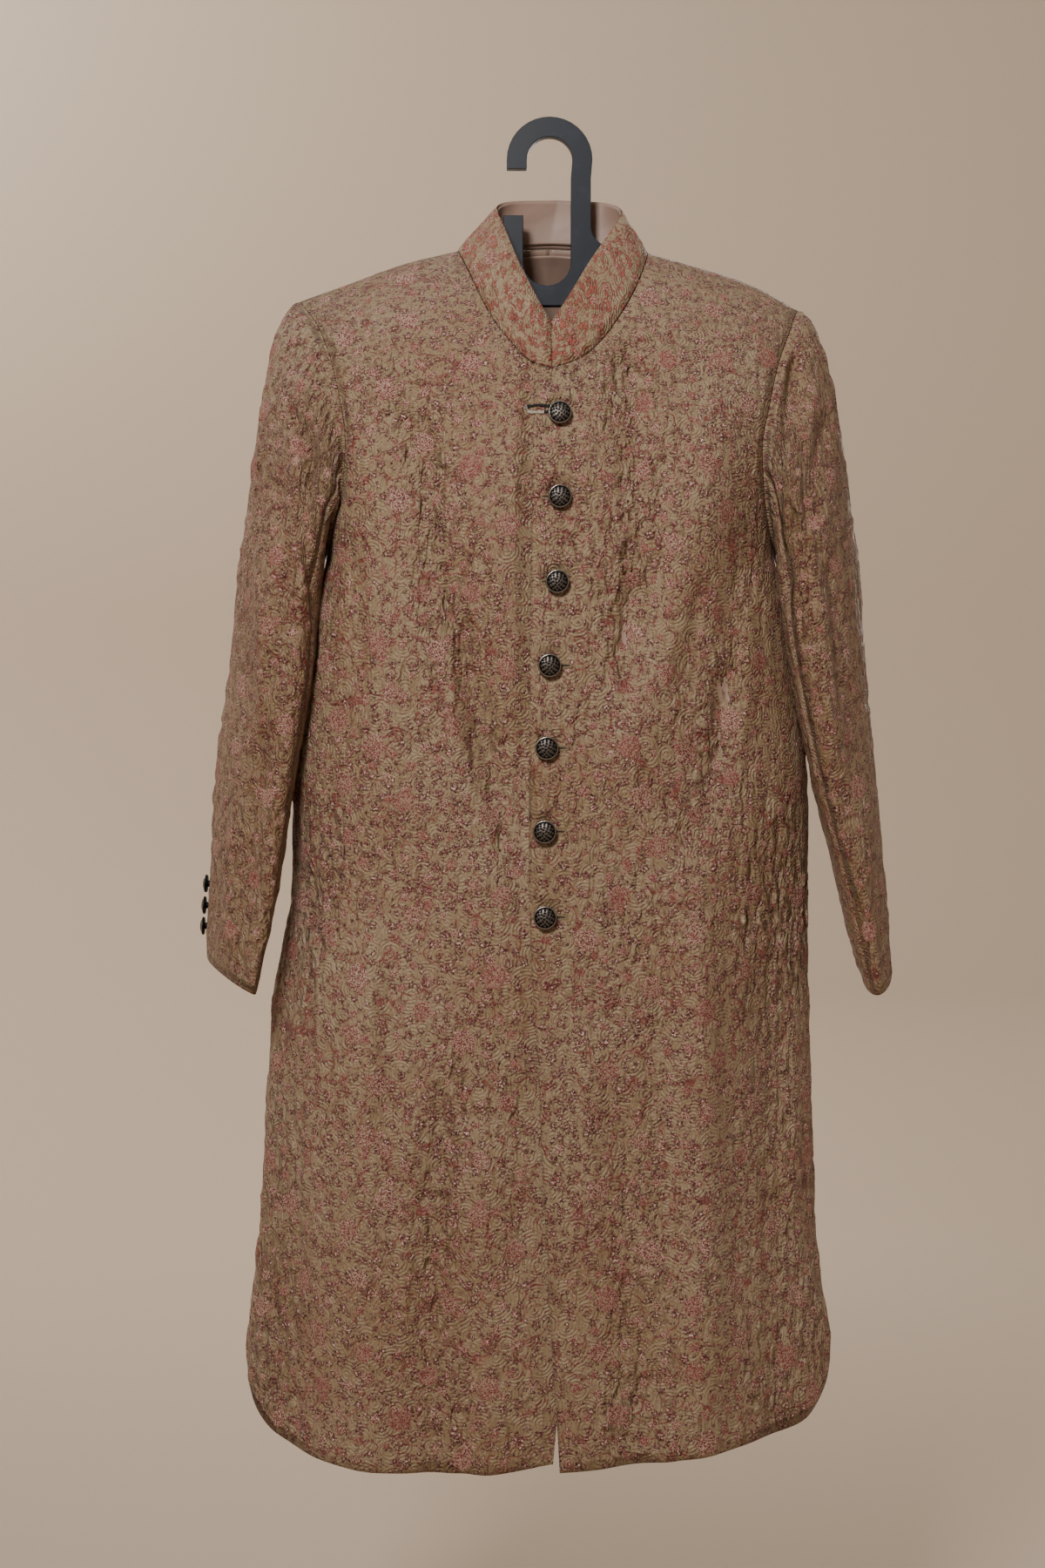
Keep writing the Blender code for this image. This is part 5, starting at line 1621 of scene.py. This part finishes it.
def satin_layer(name, outer, inner, out, paints, rise):
    """Thin satin shell whose inner side, the one that shows, stands up by a function of the cloth."""
    keep = np.ones(((outer.shape[0] - 1) // 2, (outer.shape[1] - 1) // 2), bool)
    across, up = lengths(inner, 1), lengths(inner, 0)
    shown = inner - out * rise(across, up)[..., None]
    uv = np.stack([across, up], axis=-1) * MM
    return shell(name, shown, outer[::2, ::2], -out, keep, uv, {}, paints)


def faint_waves(across, up):
    """Height of the slight waves in the collar's lining."""
    return 0.25 * (2 * hills(37, across, up, 34, 20) - 1)


def collar_lining(paints):
    """Satin that faces the collar band."""
    ups = halves(np.linspace(*LINING_UPS, COLLAR_CELLS_UP + 1))
    outer, out = collar_grid(COLLAR_WALL + SEAM_GAP, ups)
    inner, _ = collar_grid(COLLAR_WALL + SEAM_GAP + LINING_WALL, ups)
    return satin_layer("satin_collar", outer, inner, out, paints, faint_waves)


def neck_lining(paints):
    """Gathered satin inside the back of the neck."""
    columns = halves(np.linspace(*NECK_LINING_COLUMNS, 25))
    rows = halves(np.linspace(*NECK_LINING_ROWS, 41))
    across, row = np.meshgrid(columns, rows)
    layers = []
    for depth in (COLLAR_WALL + NECK_LINING_GAP, COLLAR_WALL + NECK_LINING_GAP + LINING_WALL):
        right, right_out = back_layer(-1, across, row)
        left, left_out = back_layer(1, across, row)
        right, left = right - right_out * depth, left - left_out * depth
        middle = (right[:, :1] + left[:, :1]) / 2
        layers.append(np.concatenate([right[:, :0:-1], middle, left[:, 1:]], axis=1))
    out = np.concatenate([right_out[:, :0:-1], left_out], axis=1)
    return satin_layer("satin_back_neck", layers[0], layers[1], out, paints, gathers)


# %% Make the cloth
cloth_paints = (silk, satin)
panels = {}
for side in (-1, 1):
    name = side_name(side)
    panels["front_" + name] = front_panel(side, cloth_paints)
    panels["back_" + name] = back_panel(side, cloth_paints)
    for piece in ("top", "under"):
        panels[f"sleeve_{piece}_{name}"] = sleeve_panel(side, piece, cloth_paints)
panels["collar"] = collar_band(cloth_paints)
panels["collar_lining"] = collar_lining((satin, satin))
panels["back_neck_lining"] = neck_lining((satin, satin))
print("cloth pieces:", len(panels))

# %% [markdown]
# ## Buttons
#
# Thirteen domed buttons of antiqued metal: a shallow dome pierced all over with rings of small holes,
# inside a raised rim. Each is a turned grid of points whose heights come from a rule, so the filigree is
# real relief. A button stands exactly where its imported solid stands, found from that solid's own points.

# %% Button shape
BUTTON_TURNS = 96
BUTTON_CAP_RINGS = 30
FILIGREE_DEPTH = 0.55
DOME_RELIEF = 0.62
FILIGREE_RINGS = ((0.16, 3), (0.37, 7), (0.57, 10), (0.74, 13))
HOLE_EDGES = (0.050, 0.095)
CAP_EDGE = 0.985
SHARP_ANGLE = 50

BUTTON_PROFILE = table(
    "reach  height",
    (0.00, 1.00),
    (0.25, 0.985),
    (0.45, 0.95),
    (0.65, 0.865),
    (0.76, 0.79),
    (0.82, 0.70),
    (0.86, 0.70),
    (0.90, 0.735),
    (0.95, 0.72),
    (0.985, 0.64),
    (1.00, 0.52),
)
BUTTON_BACK = ((0.94, 0.38), (0.60, 0.32), (0.36, 0.30), (0.36, 0.02), (0.30, 0.0))


def filigree(reach, turn):
    """Relief from 0 to 1 of the pierced dome inside its groove and its bright rim."""
    holes = 0 * reach
    for ring, (place, count) in enumerate(FILIGREE_RINGS):
        across = ease(-0.20, 0.45, np.cos(count * turn + 1.7 * ring))
        wander = place + 0.018 * np.sin(3 * turn + ring)
        holes = np.maximum(holes, across * (1 - ease(*HOLE_EDGES, np.abs(reach - wander))))
    groove = ease(0.79, 0.82, reach)
    rim = ease(0.86, 0.89, reach) * (1 - ease(0.98, 1.0, reach))
    return np.maximum(DOME_RELIEF * (1 - np.maximum(holes, groove)), rim)


def button(name, node, toward):
    """Fine button in the place of a packed one, and its radius; toward points roughly off the cloth."""
    solid = frame["nodes"][node]
    spots = np.array([(solid.matrix_world @ vertex.co)[:] for vertex in solid.data.vertices])
    centre = spots.mean(axis=0)
    _, _, axes = np.linalg.svd(spots - centre)
    axis = axes[2] * (1 if axes[2] @ toward > 0 else -1)
    heights = (spots - centre) @ axis
    height = heights.max() - heights.min()
    aside = spots - centre - heights[:, None] * axis
    radius = np.linalg.norm(aside, axis=1).max()
    level = unit(np.cross((0, 0, 1.0), axis))
    upright = np.cross(axis, level)
    reach = np.linspace(0, 1, BUTTON_CAP_RINGS + 1)[1:] ** 0.9
    turn = np.arange(BUTTON_TURNS) * 2 * np.pi / BUTTON_TURNS
    grid_reach, grid_turn = np.meshgrid(reach, turn, indexing="ij")
    proud = filigree(grid_reach, grid_turn)
    rise = along(BUTTON_PROFILE, "reach", "height", grid_reach) * height
    rise = rise + (proud - 1) * FILIGREE_DEPTH * MM * (grid_reach < CAP_EDGE)
    back_reach = np.array([part[0] for part in BUTTON_BACK])[:, None] + 0 * turn
    back_rise = np.array([part[1] for part in BUTTON_BACK])[:, None] * height + 0 * turn
    reach_all = np.concatenate([grid_reach, back_reach])
    rise_all = np.concatenate([rise, back_rise])
    turn_all = np.broadcast_to(turn, reach_all.shape)
    proud_all = np.concatenate([proud, 0 * back_reach])
    foot = centre + heights.min() * axis
    radial = np.cos(turn_all)[..., None] * level + np.sin(turn_all)[..., None] * upright
    flat = radial * reach_all[..., None]
    points = foot + flat * radius + rise_all[..., None] * axis
    rings = len(points)
    vertices = points.reshape(-1, 3).tolist() + [(foot + axis * height).tolist(), foot.tolist()]
    crown, base = rings * BUTTON_TURNS, rings * BUTTON_TURNS + 1
    faces = []
    for j in range(BUTTON_TURNS):
        k = (j + 1) % BUTTON_TURNS
        faces.append((crown, j, k))
        faces.append((base, (rings - 1) * BUTTON_TURNS + k, (rings - 1) * BUTTON_TURNS + j))
        for i in range(rings - 1):
            low = i * BUTTON_TURNS
            high = low + BUTTON_TURNS
            faces.append((low + j, high + j, high + k, low + k))
    mesh = bpy.data.meshes.new(name)
    mesh.from_pydata(vertices, [], faces)
    values = proud_all.ravel().tolist() + [1.0, 0.0]
    mesh.attributes.new("relief", "FLOAT", "POINT").data.foreach_set("value", values)
    mesh.materials.append(metal)
    mesh.shade_smooth()
    mesh.set_sharp_from_angle(angle=math.radians(SHARP_ANGLE))
    return placed(name, mesh), radius


# %% Make the buttons
buttons = {}
for node in sorted(frame["nodes"]):
    if "button" not in node:
        continue
    low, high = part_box(node)
    middle = (np.array(low) + np.array(high)) / 2
    toward = np.array((0.0, -1.0, 0.0))
    if node.startswith("cuff"):
        side = -1 if "right" in node else 1
        drop = middle[2] / MM
        arm = (along(SLEEVES, "z", side_name(side) + "_x", drop), along(SLEEVES, "z", "centre_y", drop))
        toward = middle - np.array((arm[0] * MM, arm[1] * MM, middle[2]))
    buttons[node] = button("metal_" + node, node, toward)
print("buttons:", len(buttons), "radius in mm:", round(float(buttons["front_button_1"][1]) / MM, 2))

# %% Finish of the hanger
hanger = frame["nodes"]["hanger"]
for slot_number in range(len(hanger.material_slots)):
    hanger.material_slots[slot_number].material = plastic
print("hanger slots:", len(hanger.material_slots))


# %% [markdown]
# ## Raised flowers
#
# The larger flowers stand proud of the cloth: full roses and small five-petalled flowers. Geometry Nodes
# scatter them over all the silk with a least distance between them, turn and size each by a fixed random
# draw, and lay every point of a flower onto the puckered cloth under it, so that a flower bends with the
# cloth it is sewn to.

# %% Flower shapes
ROSE_RADIUS = 0.0112
ROSE_PROFILE = ((0.16, 0.75), (0.38, 0.42), (0.60, 0.95), (0.80, 0.65), (1.0, -0.15))
SMALL_RADIUS = 0.0050
SMALL_PROFILE = ((0.55, 1.0), (1.0, -0.15))


def flower(name, radius, profile, segments, petals, depth):
    """Flat flower mesh with a lobed edge; its lift attribute says how high each point stands."""
    turn = np.arange(segments) * 2 * np.pi / segments
    lobes = 1 + depth * np.cos(petals * turn)
    points, lift = [(0, 0, 0)], [0.9]
    for reach, height in profile:
        wide = radius * reach * (1 + (lobes - 1) * reach)
        points += [(r * math.cos(a), r * math.sin(a), 0) for r, a in zip(wide, turn)]
        lift += [height] * segments
    faces = [(0, 1 + j, 1 + (j + 1) % segments) for j in range(segments)]
    for ring in range(len(profile) - 1):
        low = 1 + ring * segments
        high = low + segments
        for j in range(segments):
            k = (j + 1) % segments
            faces.append((low + j, high + j, high + k, low + k))
    mesh = bpy.data.meshes.new(name)
    mesh.from_pydata(points, [], faces)
    mesh.attributes.new("lift", "FLOAT", "POINT").data.foreach_set("value", lift)
    mesh.polygons.foreach_set("use_smooth", [True] * len(faces))
    return bpy.data.objects.new(name, mesh)


rose = flower("rose", ROSE_RADIUS, ROSE_PROFILE, 12, 6, 0.13)
small_flower = flower("small flower", SMALL_RADIUS, SMALL_PROFILE, 10, 5, 0.24)
print("faces of a rose and of a small flower:", len(rose.data.polygons), len(small_flower.data.polygons))


# %% Tree that sews flowers on
def named(tree, name, kind="FLOAT"):
    """Output of a geometry node that reads a named attribute."""
    return wired(tree, "GeometryNodeInputNamedAttribute", {"data_type": kind}, Name=name).outputs[0]


def float_sockets(sockets):
    """The plain number sockets among a node's inputs or outputs."""
    return [socket for socket in sockets if socket.type == "VALUE"]


def tree_inputs(tree, sockets):
    """Named inputs made from pairs of a name and a kind."""
    made = {}
    for name, kind in sockets:
        made[name] = tree.interface.new_socket(name, in_out="INPUT", socket_type="NodeSocket" + kind)
    return made


def painted_end(tree, shape, thread, made):
    """Sets the material of a node's geometry, ends the tree and tells its inputs by name."""
    painted = wired(tree, "GeometryNodeSetMaterial", None, Geometry=shape.outputs[0], Material=thread)
    end = tree.nodes.new("NodeGroupOutput")
    tree.links.new(painted.outputs[0], end.inputs[0])
    return {name: socket.identifier for name, socket in made.items()}


def sewing_tree():
    """Geometry nodes that scatter a flower over cloth and lay it on the surface."""
    tree = bpy.data.node_groups.new("sewn flowers", "GeometryNodeTree")
    sockets = (
        ("Cloth", "Geometry"),
        ("Flower", "Object"),
        ("Spacing", "Float"),
        ("Margin", "Float"),
        ("Density", "Float"),
        ("Height", "Float"),
        ("Smallest", "Float"),
        ("Seed", "Int"),
        ("Thread", "Material"),
    )
    made = tree_inputs(tree, sockets)
    tree.interface.new_socket("Flowers", in_out="OUTPUT", socket_type="NodeSocketGeometry")
    start = tree.nodes.new("NodeGroupInput").outputs
    border = named(tree, "border")
    below_edge = {"data_type": "FLOAT", "operation": "LESS_THAN"}
    hidden = wired(tree, "FunctionNodeCompare", below_edge, A=border, B=-0.5)
    face = wired(tree, "GeometryNodeDeleteGeometry", {"domain": "POINT"}, Geometry=start["Cloth"])
    tree.links.new(hidden.outputs[0], face.inputs["Selection"])
    within = {"data_type": "FLOAT", "operation": "GREATER_THAN"}
    inside = wired(tree, "FunctionNodeCompare", within, A=border)
    tree.links.new(start["Margin"], inside.inputs["B"])
    spots = wired(
        tree,
        "GeometryNodeDistributePointsOnFaces",
        {"distribute_method": "POISSON"},
        Mesh=face.outputs[0],
        Selection=inside.outputs[0],
        Distance_Min=start["Spacing"],
        Density_Max=start["Density"],
        Seed=start["Seed"],
    )
    settings = {"data_type": "FLOAT_VECTOR", "domain": "POINT"}
    points = spots.outputs["Points"]
    kept = wired(tree, "GeometryNodeStoreNamedAttribute", settings, Geometry=points, Name="out")
    tree.links.new(spots.outputs["Normal"], kept.inputs["Value"])
    model = wired(tree, "GeometryNodeObjectInfo", None, Object=start["Flower"])
    turn = wired(tree, "FunctionNodeRandomValue", {"data_type": "FLOAT"}, Seed=start["Seed"])
    size = wired(tree, "FunctionNodeRandomValue", {"data_type": "FLOAT"}, Seed=start["Seed"])
    tone = wired(tree, "FunctionNodeRandomValue", {"data_type": "FLOAT"}, Seed=start["Seed"])
    for node, low, high, number in ((turn, 0.0, 2 * math.pi, 1), (size, 0.8, 1.15, 2), (tone, 0.0, 1.0, 3)):
        floats = float_sockets(node.inputs)
        floats[0].default_value = low
        floats[1].default_value = high
        identity = wired(tree, "GeometryNodeInputIndex")
        moved = calc(tree, "ADD", identity.outputs[0], 10000.0 * number)
        tree.links.new(moved, node.inputs["ID"])
    tree.links.new(start["Smallest"], float_sockets(size.inputs)[0])
    random_value = {node: float_sockets(node.outputs)[0] for node in (turn, size, tone)}
    spin = wired(tree, "ShaderNodeCombineXYZ", None, Z=random_value[turn])
    spun = wired(tree, "FunctionNodeEulerToRotation", None, Euler=spin.outputs[0])
    facing = wired(tree, "FunctionNodeRotateRotation", {"rotation_space": "LOCAL"})
    tree.links.new(spots.outputs["Rotation"], facing.inputs["Rotation"])
    tree.links.new(spun.outputs[0], facing.inputs["Rotate By"])
    sewn = wired(
        tree,
        "GeometryNodeInstanceOnPoints",
        None,
        Points=kept.outputs[0],
        Instance=model.outputs["Geometry"],
        Rotation=facing.outputs[0],
        Scale=random_value[size],
    )
    settings = {"data_type": "FLOAT", "domain": "INSTANCE"}
    toned = wired(tree, "GeometryNodeStoreNamedAttribute", settings, Geometry=sewn.outputs[0], Name="tone")
    tree.links.new(random_value[tone], toned.inputs["Value"])
    real = wired(tree, "GeometryNodeRealizeInstances", None, Geometry=toned.outputs[0])
    below = wired(tree, "GeometryNodeProximity", {"target_element": "FACES"}, Geometry=face.outputs[0])
    height = calc(tree, "MULTIPLY", named(tree, "lift"), start["Height"])
    rise = vector(tree, "SCALE", named(tree, "out", "FLOAT_VECTOR"), Scale=height)
    place = vector(tree, "ADD", below.outputs["Position"], rise)
    laid = wired(tree, "GeometryNodeSetPosition", None, Geometry=real.outputs[0], Position=place)
    return tree, painted_end(tree, laid, start["Thread"], made)


def plain_mesh(name, host):
    """What a host's modifiers make of it, as an object of its own; the host is removed."""
    evaluated = host.evaluated_get(bpy.context.evaluated_depsgraph_get())
    mesh = bpy.data.meshes.new_from_object(evaluated)
    mesh.name = name
    bpy.data.objects.remove(host)
    return placed(name, mesh)


def all_silk():
    """One mesh of all the embroidered pieces, to scatter over."""
    joined = bmesh.new()
    for key, panel in panels.items():
        if "lining" not in key:
            joined.from_mesh(panel.data)
    mesh = bpy.data.meshes.new("all silk")
    joined.to_mesh(mesh)
    joined.free()
    return mesh


def sew(name, cloth, values):
    """Scatters one kind of flower over the cloth."""
    host = placed(name + " host", cloth)
    nodes = host.modifiers.new("sewing", "NODES")
    nodes.node_group = flower_tree
    for key, value in values.items():
        nodes[flower_inputs[key]] = value
    made = plain_mesh(name, host)
    print(name, "faces:", len(made.data.polygons))
    return made


# %% Sew the flowers on
flower_tree, flower_inputs = sewing_tree()
silk_cloth = all_silk()
roses = {
    "Flower": rose,
    "Spacing": 0.046,
    "Margin": 13.0,
    "Density": 900.0,
    "Height": 0.0006,
    "Smallest": 0.75,
    "Seed": 11,
    "Thread": thread,
}
small_flowers = {
    "Flower": small_flower,
    "Spacing": 0.0158,
    "Margin": 6.0,
    "Density": 4200.0,
    "Height": 0.0005,
    "Smallest": 0.70,
    "Seed": 5,
    "Thread": thread,
}
trimmings = [
    sew("thread_roses", silk_cloth, roses),
    sew("thread_small_flowers", silk_cloth, small_flowers),
]

# %% [markdown]
# ## Buttonholes
#
# Six of the seven holes are slits with close purl stitches round them. The first gapes above its button:
# its upper lip is a black cord, its lower one a white cord, and white thread has frayed from it. Geometry
# Nodes lay the stitches of holes and cords, one after the other, along a path.

# %% Places of the holes
HOLES = table(
    "button  start_x  end_x  gape",
    (2, -17.0, 7.0, 1.2),
    (3, -15.0, 9.0, 1.2),
    (4, -4.0, 20.0, 1.2),
    (5, -5.0, 19.0, 1.3),
    (6, -5.0, 19.5, 1.3),
    (7, -5.0, 19.5, 1.3),
)
HOLE_POINTS = 40
LIP = 1.35
STITCH_STEP = 0.00075
STITCH_SIZES = (0.82, 1.18)
fronts = bmesh.new()
for name in ("front_left", "front_right"):
    fronts.from_mesh(panels[name].data)
front_cloth = BVHTree.FromBMesh(fronts)
fronts.free()


def on_front(x, z, lift):
    """Point above the fronts at x, z millimetres, and the cloth's normal there."""
    spot, out, _, _ = front_cloth.ray_cast(Vector((x * MM, -1.0, z * MM)), Vector((0, 1, 0)))
    if out.y > 0:
        out = -out
    return spot + out * lift * MM, out


# %% Stitch and its tree
def stitch_mesh(along_path, height, across):
    """Short round stitch that lies along Y, with its half sizes in millimetres."""
    mesh = bpy.data.meshes.new("stitch")
    form = bmesh.new()
    bmesh.ops.create_uvsphere(form, u_segments=6, v_segments=5, radius=1.0)
    bmesh.ops.scale(form, vec=(along_path * MM, height * MM, across * MM), verts=form.verts)
    bmesh.ops.rotate(form, matrix=Matrix.Rotation(math.radians(90), 3, "X"), verts=form.verts)
    form.to_mesh(mesh)
    form.free()
    mesh.shade_smooth()
    return bpy.data.objects.new("stitch", mesh)


def purl_tree():
    """Geometry nodes that lay stitches side by side along a path."""
    tree = bpy.data.node_groups.new("purl stitches", "GeometryNodeTree")
    sockets = (
        ("Path", "Geometry"),
        ("Stitch", "Object"),
        ("Step", "Float"),
        ("Seed", "Int"),
        ("Thread", "Material"),
    )
    made = tree_inputs(tree, sockets)
    tree.interface.new_socket("Stitches", in_out="OUTPUT", socket_type="NodeSocketGeometry")
    start = tree.nodes.new("NodeGroupInput").outputs
    line = wired(tree, "GeometryNodeMeshToCurve", None, Mesh=start["Path"])
    step = start["Step"]
    even = wired(tree, "GeometryNodeResampleCurve", {"mode": "LENGTH"}, Curve=line.outputs[0], Length=step)
    tangent = wired(tree, "GeometryNodeInputTangent").outputs[0]
    out = named(tree, "out", "FLOAT_VECTOR")
    ahead = wired(tree, "FunctionNodeAlignRotationToVector", {"axis": "X"}, Vector=tangent)
    settings = {"axis": "Z", "pivot_axis": "X"}
    first = ahead.outputs[0]
    facing = wired(tree, "FunctionNodeAlignRotationToVector", settings, Rotation=first, Vector=out)
    size = wired(tree, "FunctionNodeRandomValue", {"data_type": "FLOAT"}, Seed=start["Seed"])
    floats = float_sockets(size.inputs)
    floats[0].default_value, floats[1].default_value = STITCH_SIZES
    laid = wired(
        tree,
        "GeometryNodeInstanceOnPoints",
        None,
        Points=even.outputs[0],
        Instance=wired(tree, "GeometryNodeObjectInfo", None, Object=start["Stitch"]).outputs["Geometry"],
        Rotation=facing.outputs[0],
        Scale=float_sockets(size.outputs)[0],
    )
    real = wired(tree, "GeometryNodeRealizeInstances", None, Geometry=laid.outputs[0])
    return tree, painted_end(tree, real, start["Thread"], made)


def path_mesh(name, paths):
    """Mesh of polylines, each a list of points with normals and whether it closes."""
    points, outs, edges = [], [], []
    for line, closed in paths:
        first = len(points)
        points += [tuple(spot) for spot, _ in line]
        outs += [value for _, out in line for value in out]
        edges += [(first + i, first + i + 1) for i in range(len(line) - 1)]
        if closed:
            edges.append((first + len(line) - 1, first))
    mesh = bpy.data.meshes.new(name)
    mesh.from_pydata(points, edges, [])
    mesh.attributes.new("out", "FLOAT_VECTOR", "POINT").data.foreach_set("vector", outs)
    return mesh


def purl(name, mesh, stitch, paint):
    """Stitches along all the paths of a mesh."""
    host = placed(name + " host", mesh)
    nodes = host.modifiers.new("purl", "NODES")
    nodes.node_group = stitch_tree
    for key, value in {"Stitch": stitch, "Step": STITCH_STEP, "Seed": 4, "Thread": paint}.items():
        nodes[stitch_inputs[key]] = value
    return plain_mesh(name, host)


# %% Tubes of thread
THREAD_SIDES = 6


def strand_mesh(name, strands, radius, paint):
    """Round threads through lists of points, as one mesh."""
    points, faces = [], []
    for line in strands:
        line = np.array([tuple(spot) for spot in line])
        run = unit(np.gradient(line, axis=0))
        aside = unit(np.cross(run, (0.2, 1.0, 0.1)))
        above = np.cross(run, aside)
        start = before = len(points)
        for j in range(len(line)):
            taper = 0.55 if j == len(line) - 1 else 1.0
            first = len(points)
            for k in range(THREAD_SIDES):
                turn = math.radians(360 * k / THREAD_SIDES)
                reach = radius * MM * taper
                points.append(line[j] + (aside[j] * math.cos(turn) + above[j] * math.sin(turn)) * reach)
            if j:
                for k in range(THREAD_SIDES):
                    ahead = (k + 1) % THREAD_SIDES
                    faces.append((before + k, before + ahead, first + ahead, first + k))
            before = first
        faces.append(tuple(range(before, before + THREAD_SIDES)))
        faces.append(tuple(range(start + THREAD_SIDES - 1, start - 1, -1)))
    mesh = bpy.data.meshes.new(name)
    mesh.from_pydata([tuple(point) for point in points], [], faces)
    mesh.materials.append(paint)
    mesh.shade_smooth()
    return placed(name, mesh)


def hole_line(row):
    """Middle heights and half openings of a hole along its length."""
    centre = button_centre(row["button"])
    x = np.linspace(centre[0] + row["start_x"], centre[0] + row["end_x"], HOLE_POINTS)
    share = np.linspace(0, 1, HOLE_POINTS)
    half = row["gape"] / 2 * np.sin(np.pi * share) ** 0.6
    return x, centre[2] + 0 * x, half


def button_centre(number):
    """Middle of a front button in millimetres."""
    low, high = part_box(f"front_button_{number}")
    return [(a + b) / 2 / MM for a, b in zip(low, high)]


# %% Bind the holes
gold_thread = sewing_thread("gold sewing thread", (0.330, 0.240, 0.140))
# the black thread's material also paints the shade in the slits' openings
black_thread_and_slit_shade = sewing_thread("black sewing thread and slit shade", (0.012, 0.011, 0.011))
white_thread = sewing_thread("white sewing thread", (0.560, 0.510, 0.440))
stitch = stitch_mesh(0.42, 0.34, 1.15)
cord_stitch = stitch_mesh(0.55, 0.75, 1.55)
stitch_tree, stitch_inputs = purl_tree()
# painted shade: dark gathers thin dark strips that stand for the shadowed openings of the slits, as the cloth
# is not cut
loops, dark = [], {"points": [], "faces": []}
for row in HOLES:
    x, z, half = hole_line(row)
    edge = half + LIP
    ring = list(zip(x, z + edge)) + list(zip(x[::-1], (z - edge)[::-1]))
    loops.append(([on_front(a, b, 0.15) for a, b in ring], True))
    first = len(dark["points"])
    for a, b, c in zip(x, z, half + 0.2):
        dark["points"] += [tuple(on_front(a, b + c, 0.12)[0]), tuple(on_front(a, b - c, 0.12)[0])]
    for low in range(first, first + 2 * (HOLE_POINTS - 1), 2):
        dark["faces"].append((low, low + 1, low + 3, low + 2))
# painted shade: the slits' dark strips, in the black thread's material
slit_shade = bpy.data.meshes.new("buttonhole_slits")
slit_shade.from_pydata(dark["points"], [], dark["faces"])
slit_shade.materials.append(black_thread_and_slit_shade)
trimmings.append(placed("buttonhole_slits", slit_shade))
trimmings.append(purl("buttonhole_stitches", path_mesh("hole paths", loops), stitch, gold_thread))

# %% Gaping first hole
first_button = button_centre(1)


def lip(start_x, end_x, start_z, end_z, bow):
    """Cord of the first hole from one end to the other, in millimetres from the button's middle."""
    line = []
    for t in np.linspace(0, 1, HOLE_POINTS):
        x = first_button[0] + start_x + (end_x - start_x) * t
        z = first_button[2] + start_z + (end_z - start_z) * t + bow * math.sin(math.pi * t)
        line.append(on_front(x, z, 0.5))
    return line, False


black_cord = [
    lip(-29.5, -6.0, 7.0, 5.6, 0.9),
    lip(-30.0, -29.2, 4.6, 7.0, 0.0),
    lip(-15.0, -6.0, 0.8, 1.8, 0.0),
]
white_cord = [lip(-29.6, -15.0, 1.6, 0.7, -0.5)]
trimmings.append(purl("black_lip", path_mesh("upper lip", black_cord), cord_stitch, black_thread_and_slit_shade))
trimmings.append(purl("white_lip", path_mesh("lower lip", white_cord), cord_stitch, white_thread))
FRAYS = ((-3.0, 4.5, 1.4), (-5.5, 3.2, 2.0), (-4.0, 6.5, 2.6), (-6.5, 5.2, 1.2), (-2.0, 1.5, 1.8))
frayed = []
for reach, rise, bow in FRAYS:
    line = []
    for t in np.linspace(0, 1, 9):
        x = first_button[0] - 28.8 + reach * t
        z = first_button[2] + 1.4 + rise * t + bow * math.sin(math.pi * t) * 0.5
        line.append(on_front(x, z, 0.6 + 0.7 * t)[0])
    frayed.append(line)
trimmings.append(strand_mesh("frayed_thread", frayed, 0.30, white_thread))
print("trimmings:", [(piece.name, len(piece.data.polygons)) for piece in trimmings])


# %% [markdown]
# ## Putting the pieces on the body
#
# Every piece rides on the coat's one body, and the cloth pieces and buttons stand for their imported solids,
# which are hidden. The cloth pieces hang from the hanger; the table lists the size that each was cut to and
# the flat area of that cut, though only its names are read.
# hang from the hanger: each has the size that it was cut to and the flat area of that cut.

# %% Cut sizes
CUTS = table(
    "name  width  length  area",
    ("front_left", 0.36, 1.24, 0.325),
    ("front_right", 0.39, 1.24, 0.346),
    ("back_left", 0.35, 1.26, 0.330),
    ("back_right", 0.35, 1.26, 0.330),
    ("sleeve_top_left", 0.25, 0.72, 0.121),
    ("sleeve_top_right", 0.25, 0.72, 0.124),
    ("sleeve_under_left", 0.17, 0.64, 0.078),
    ("sleeve_under_right", 0.17, 0.64, 0.080),
    ("collar", 0.50, 0.09, 0.0257),
    ("collar_lining", 0.49, 0.08, 0.0208),
    ("back_neck_lining", 0.19, 0.24, 0.0261),
)
for row in CUTS:
    piece = panels[row["name"]]
    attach(piece, "root")
    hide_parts(row["name"])
for node, (piece, _) in buttons.items():
    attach(piece, "root")
    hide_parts(node)
for piece in trimmings:
    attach(piece, "root")
print("pieces on the body:", len(CUTS) + len(buttons) + len(trimmings))
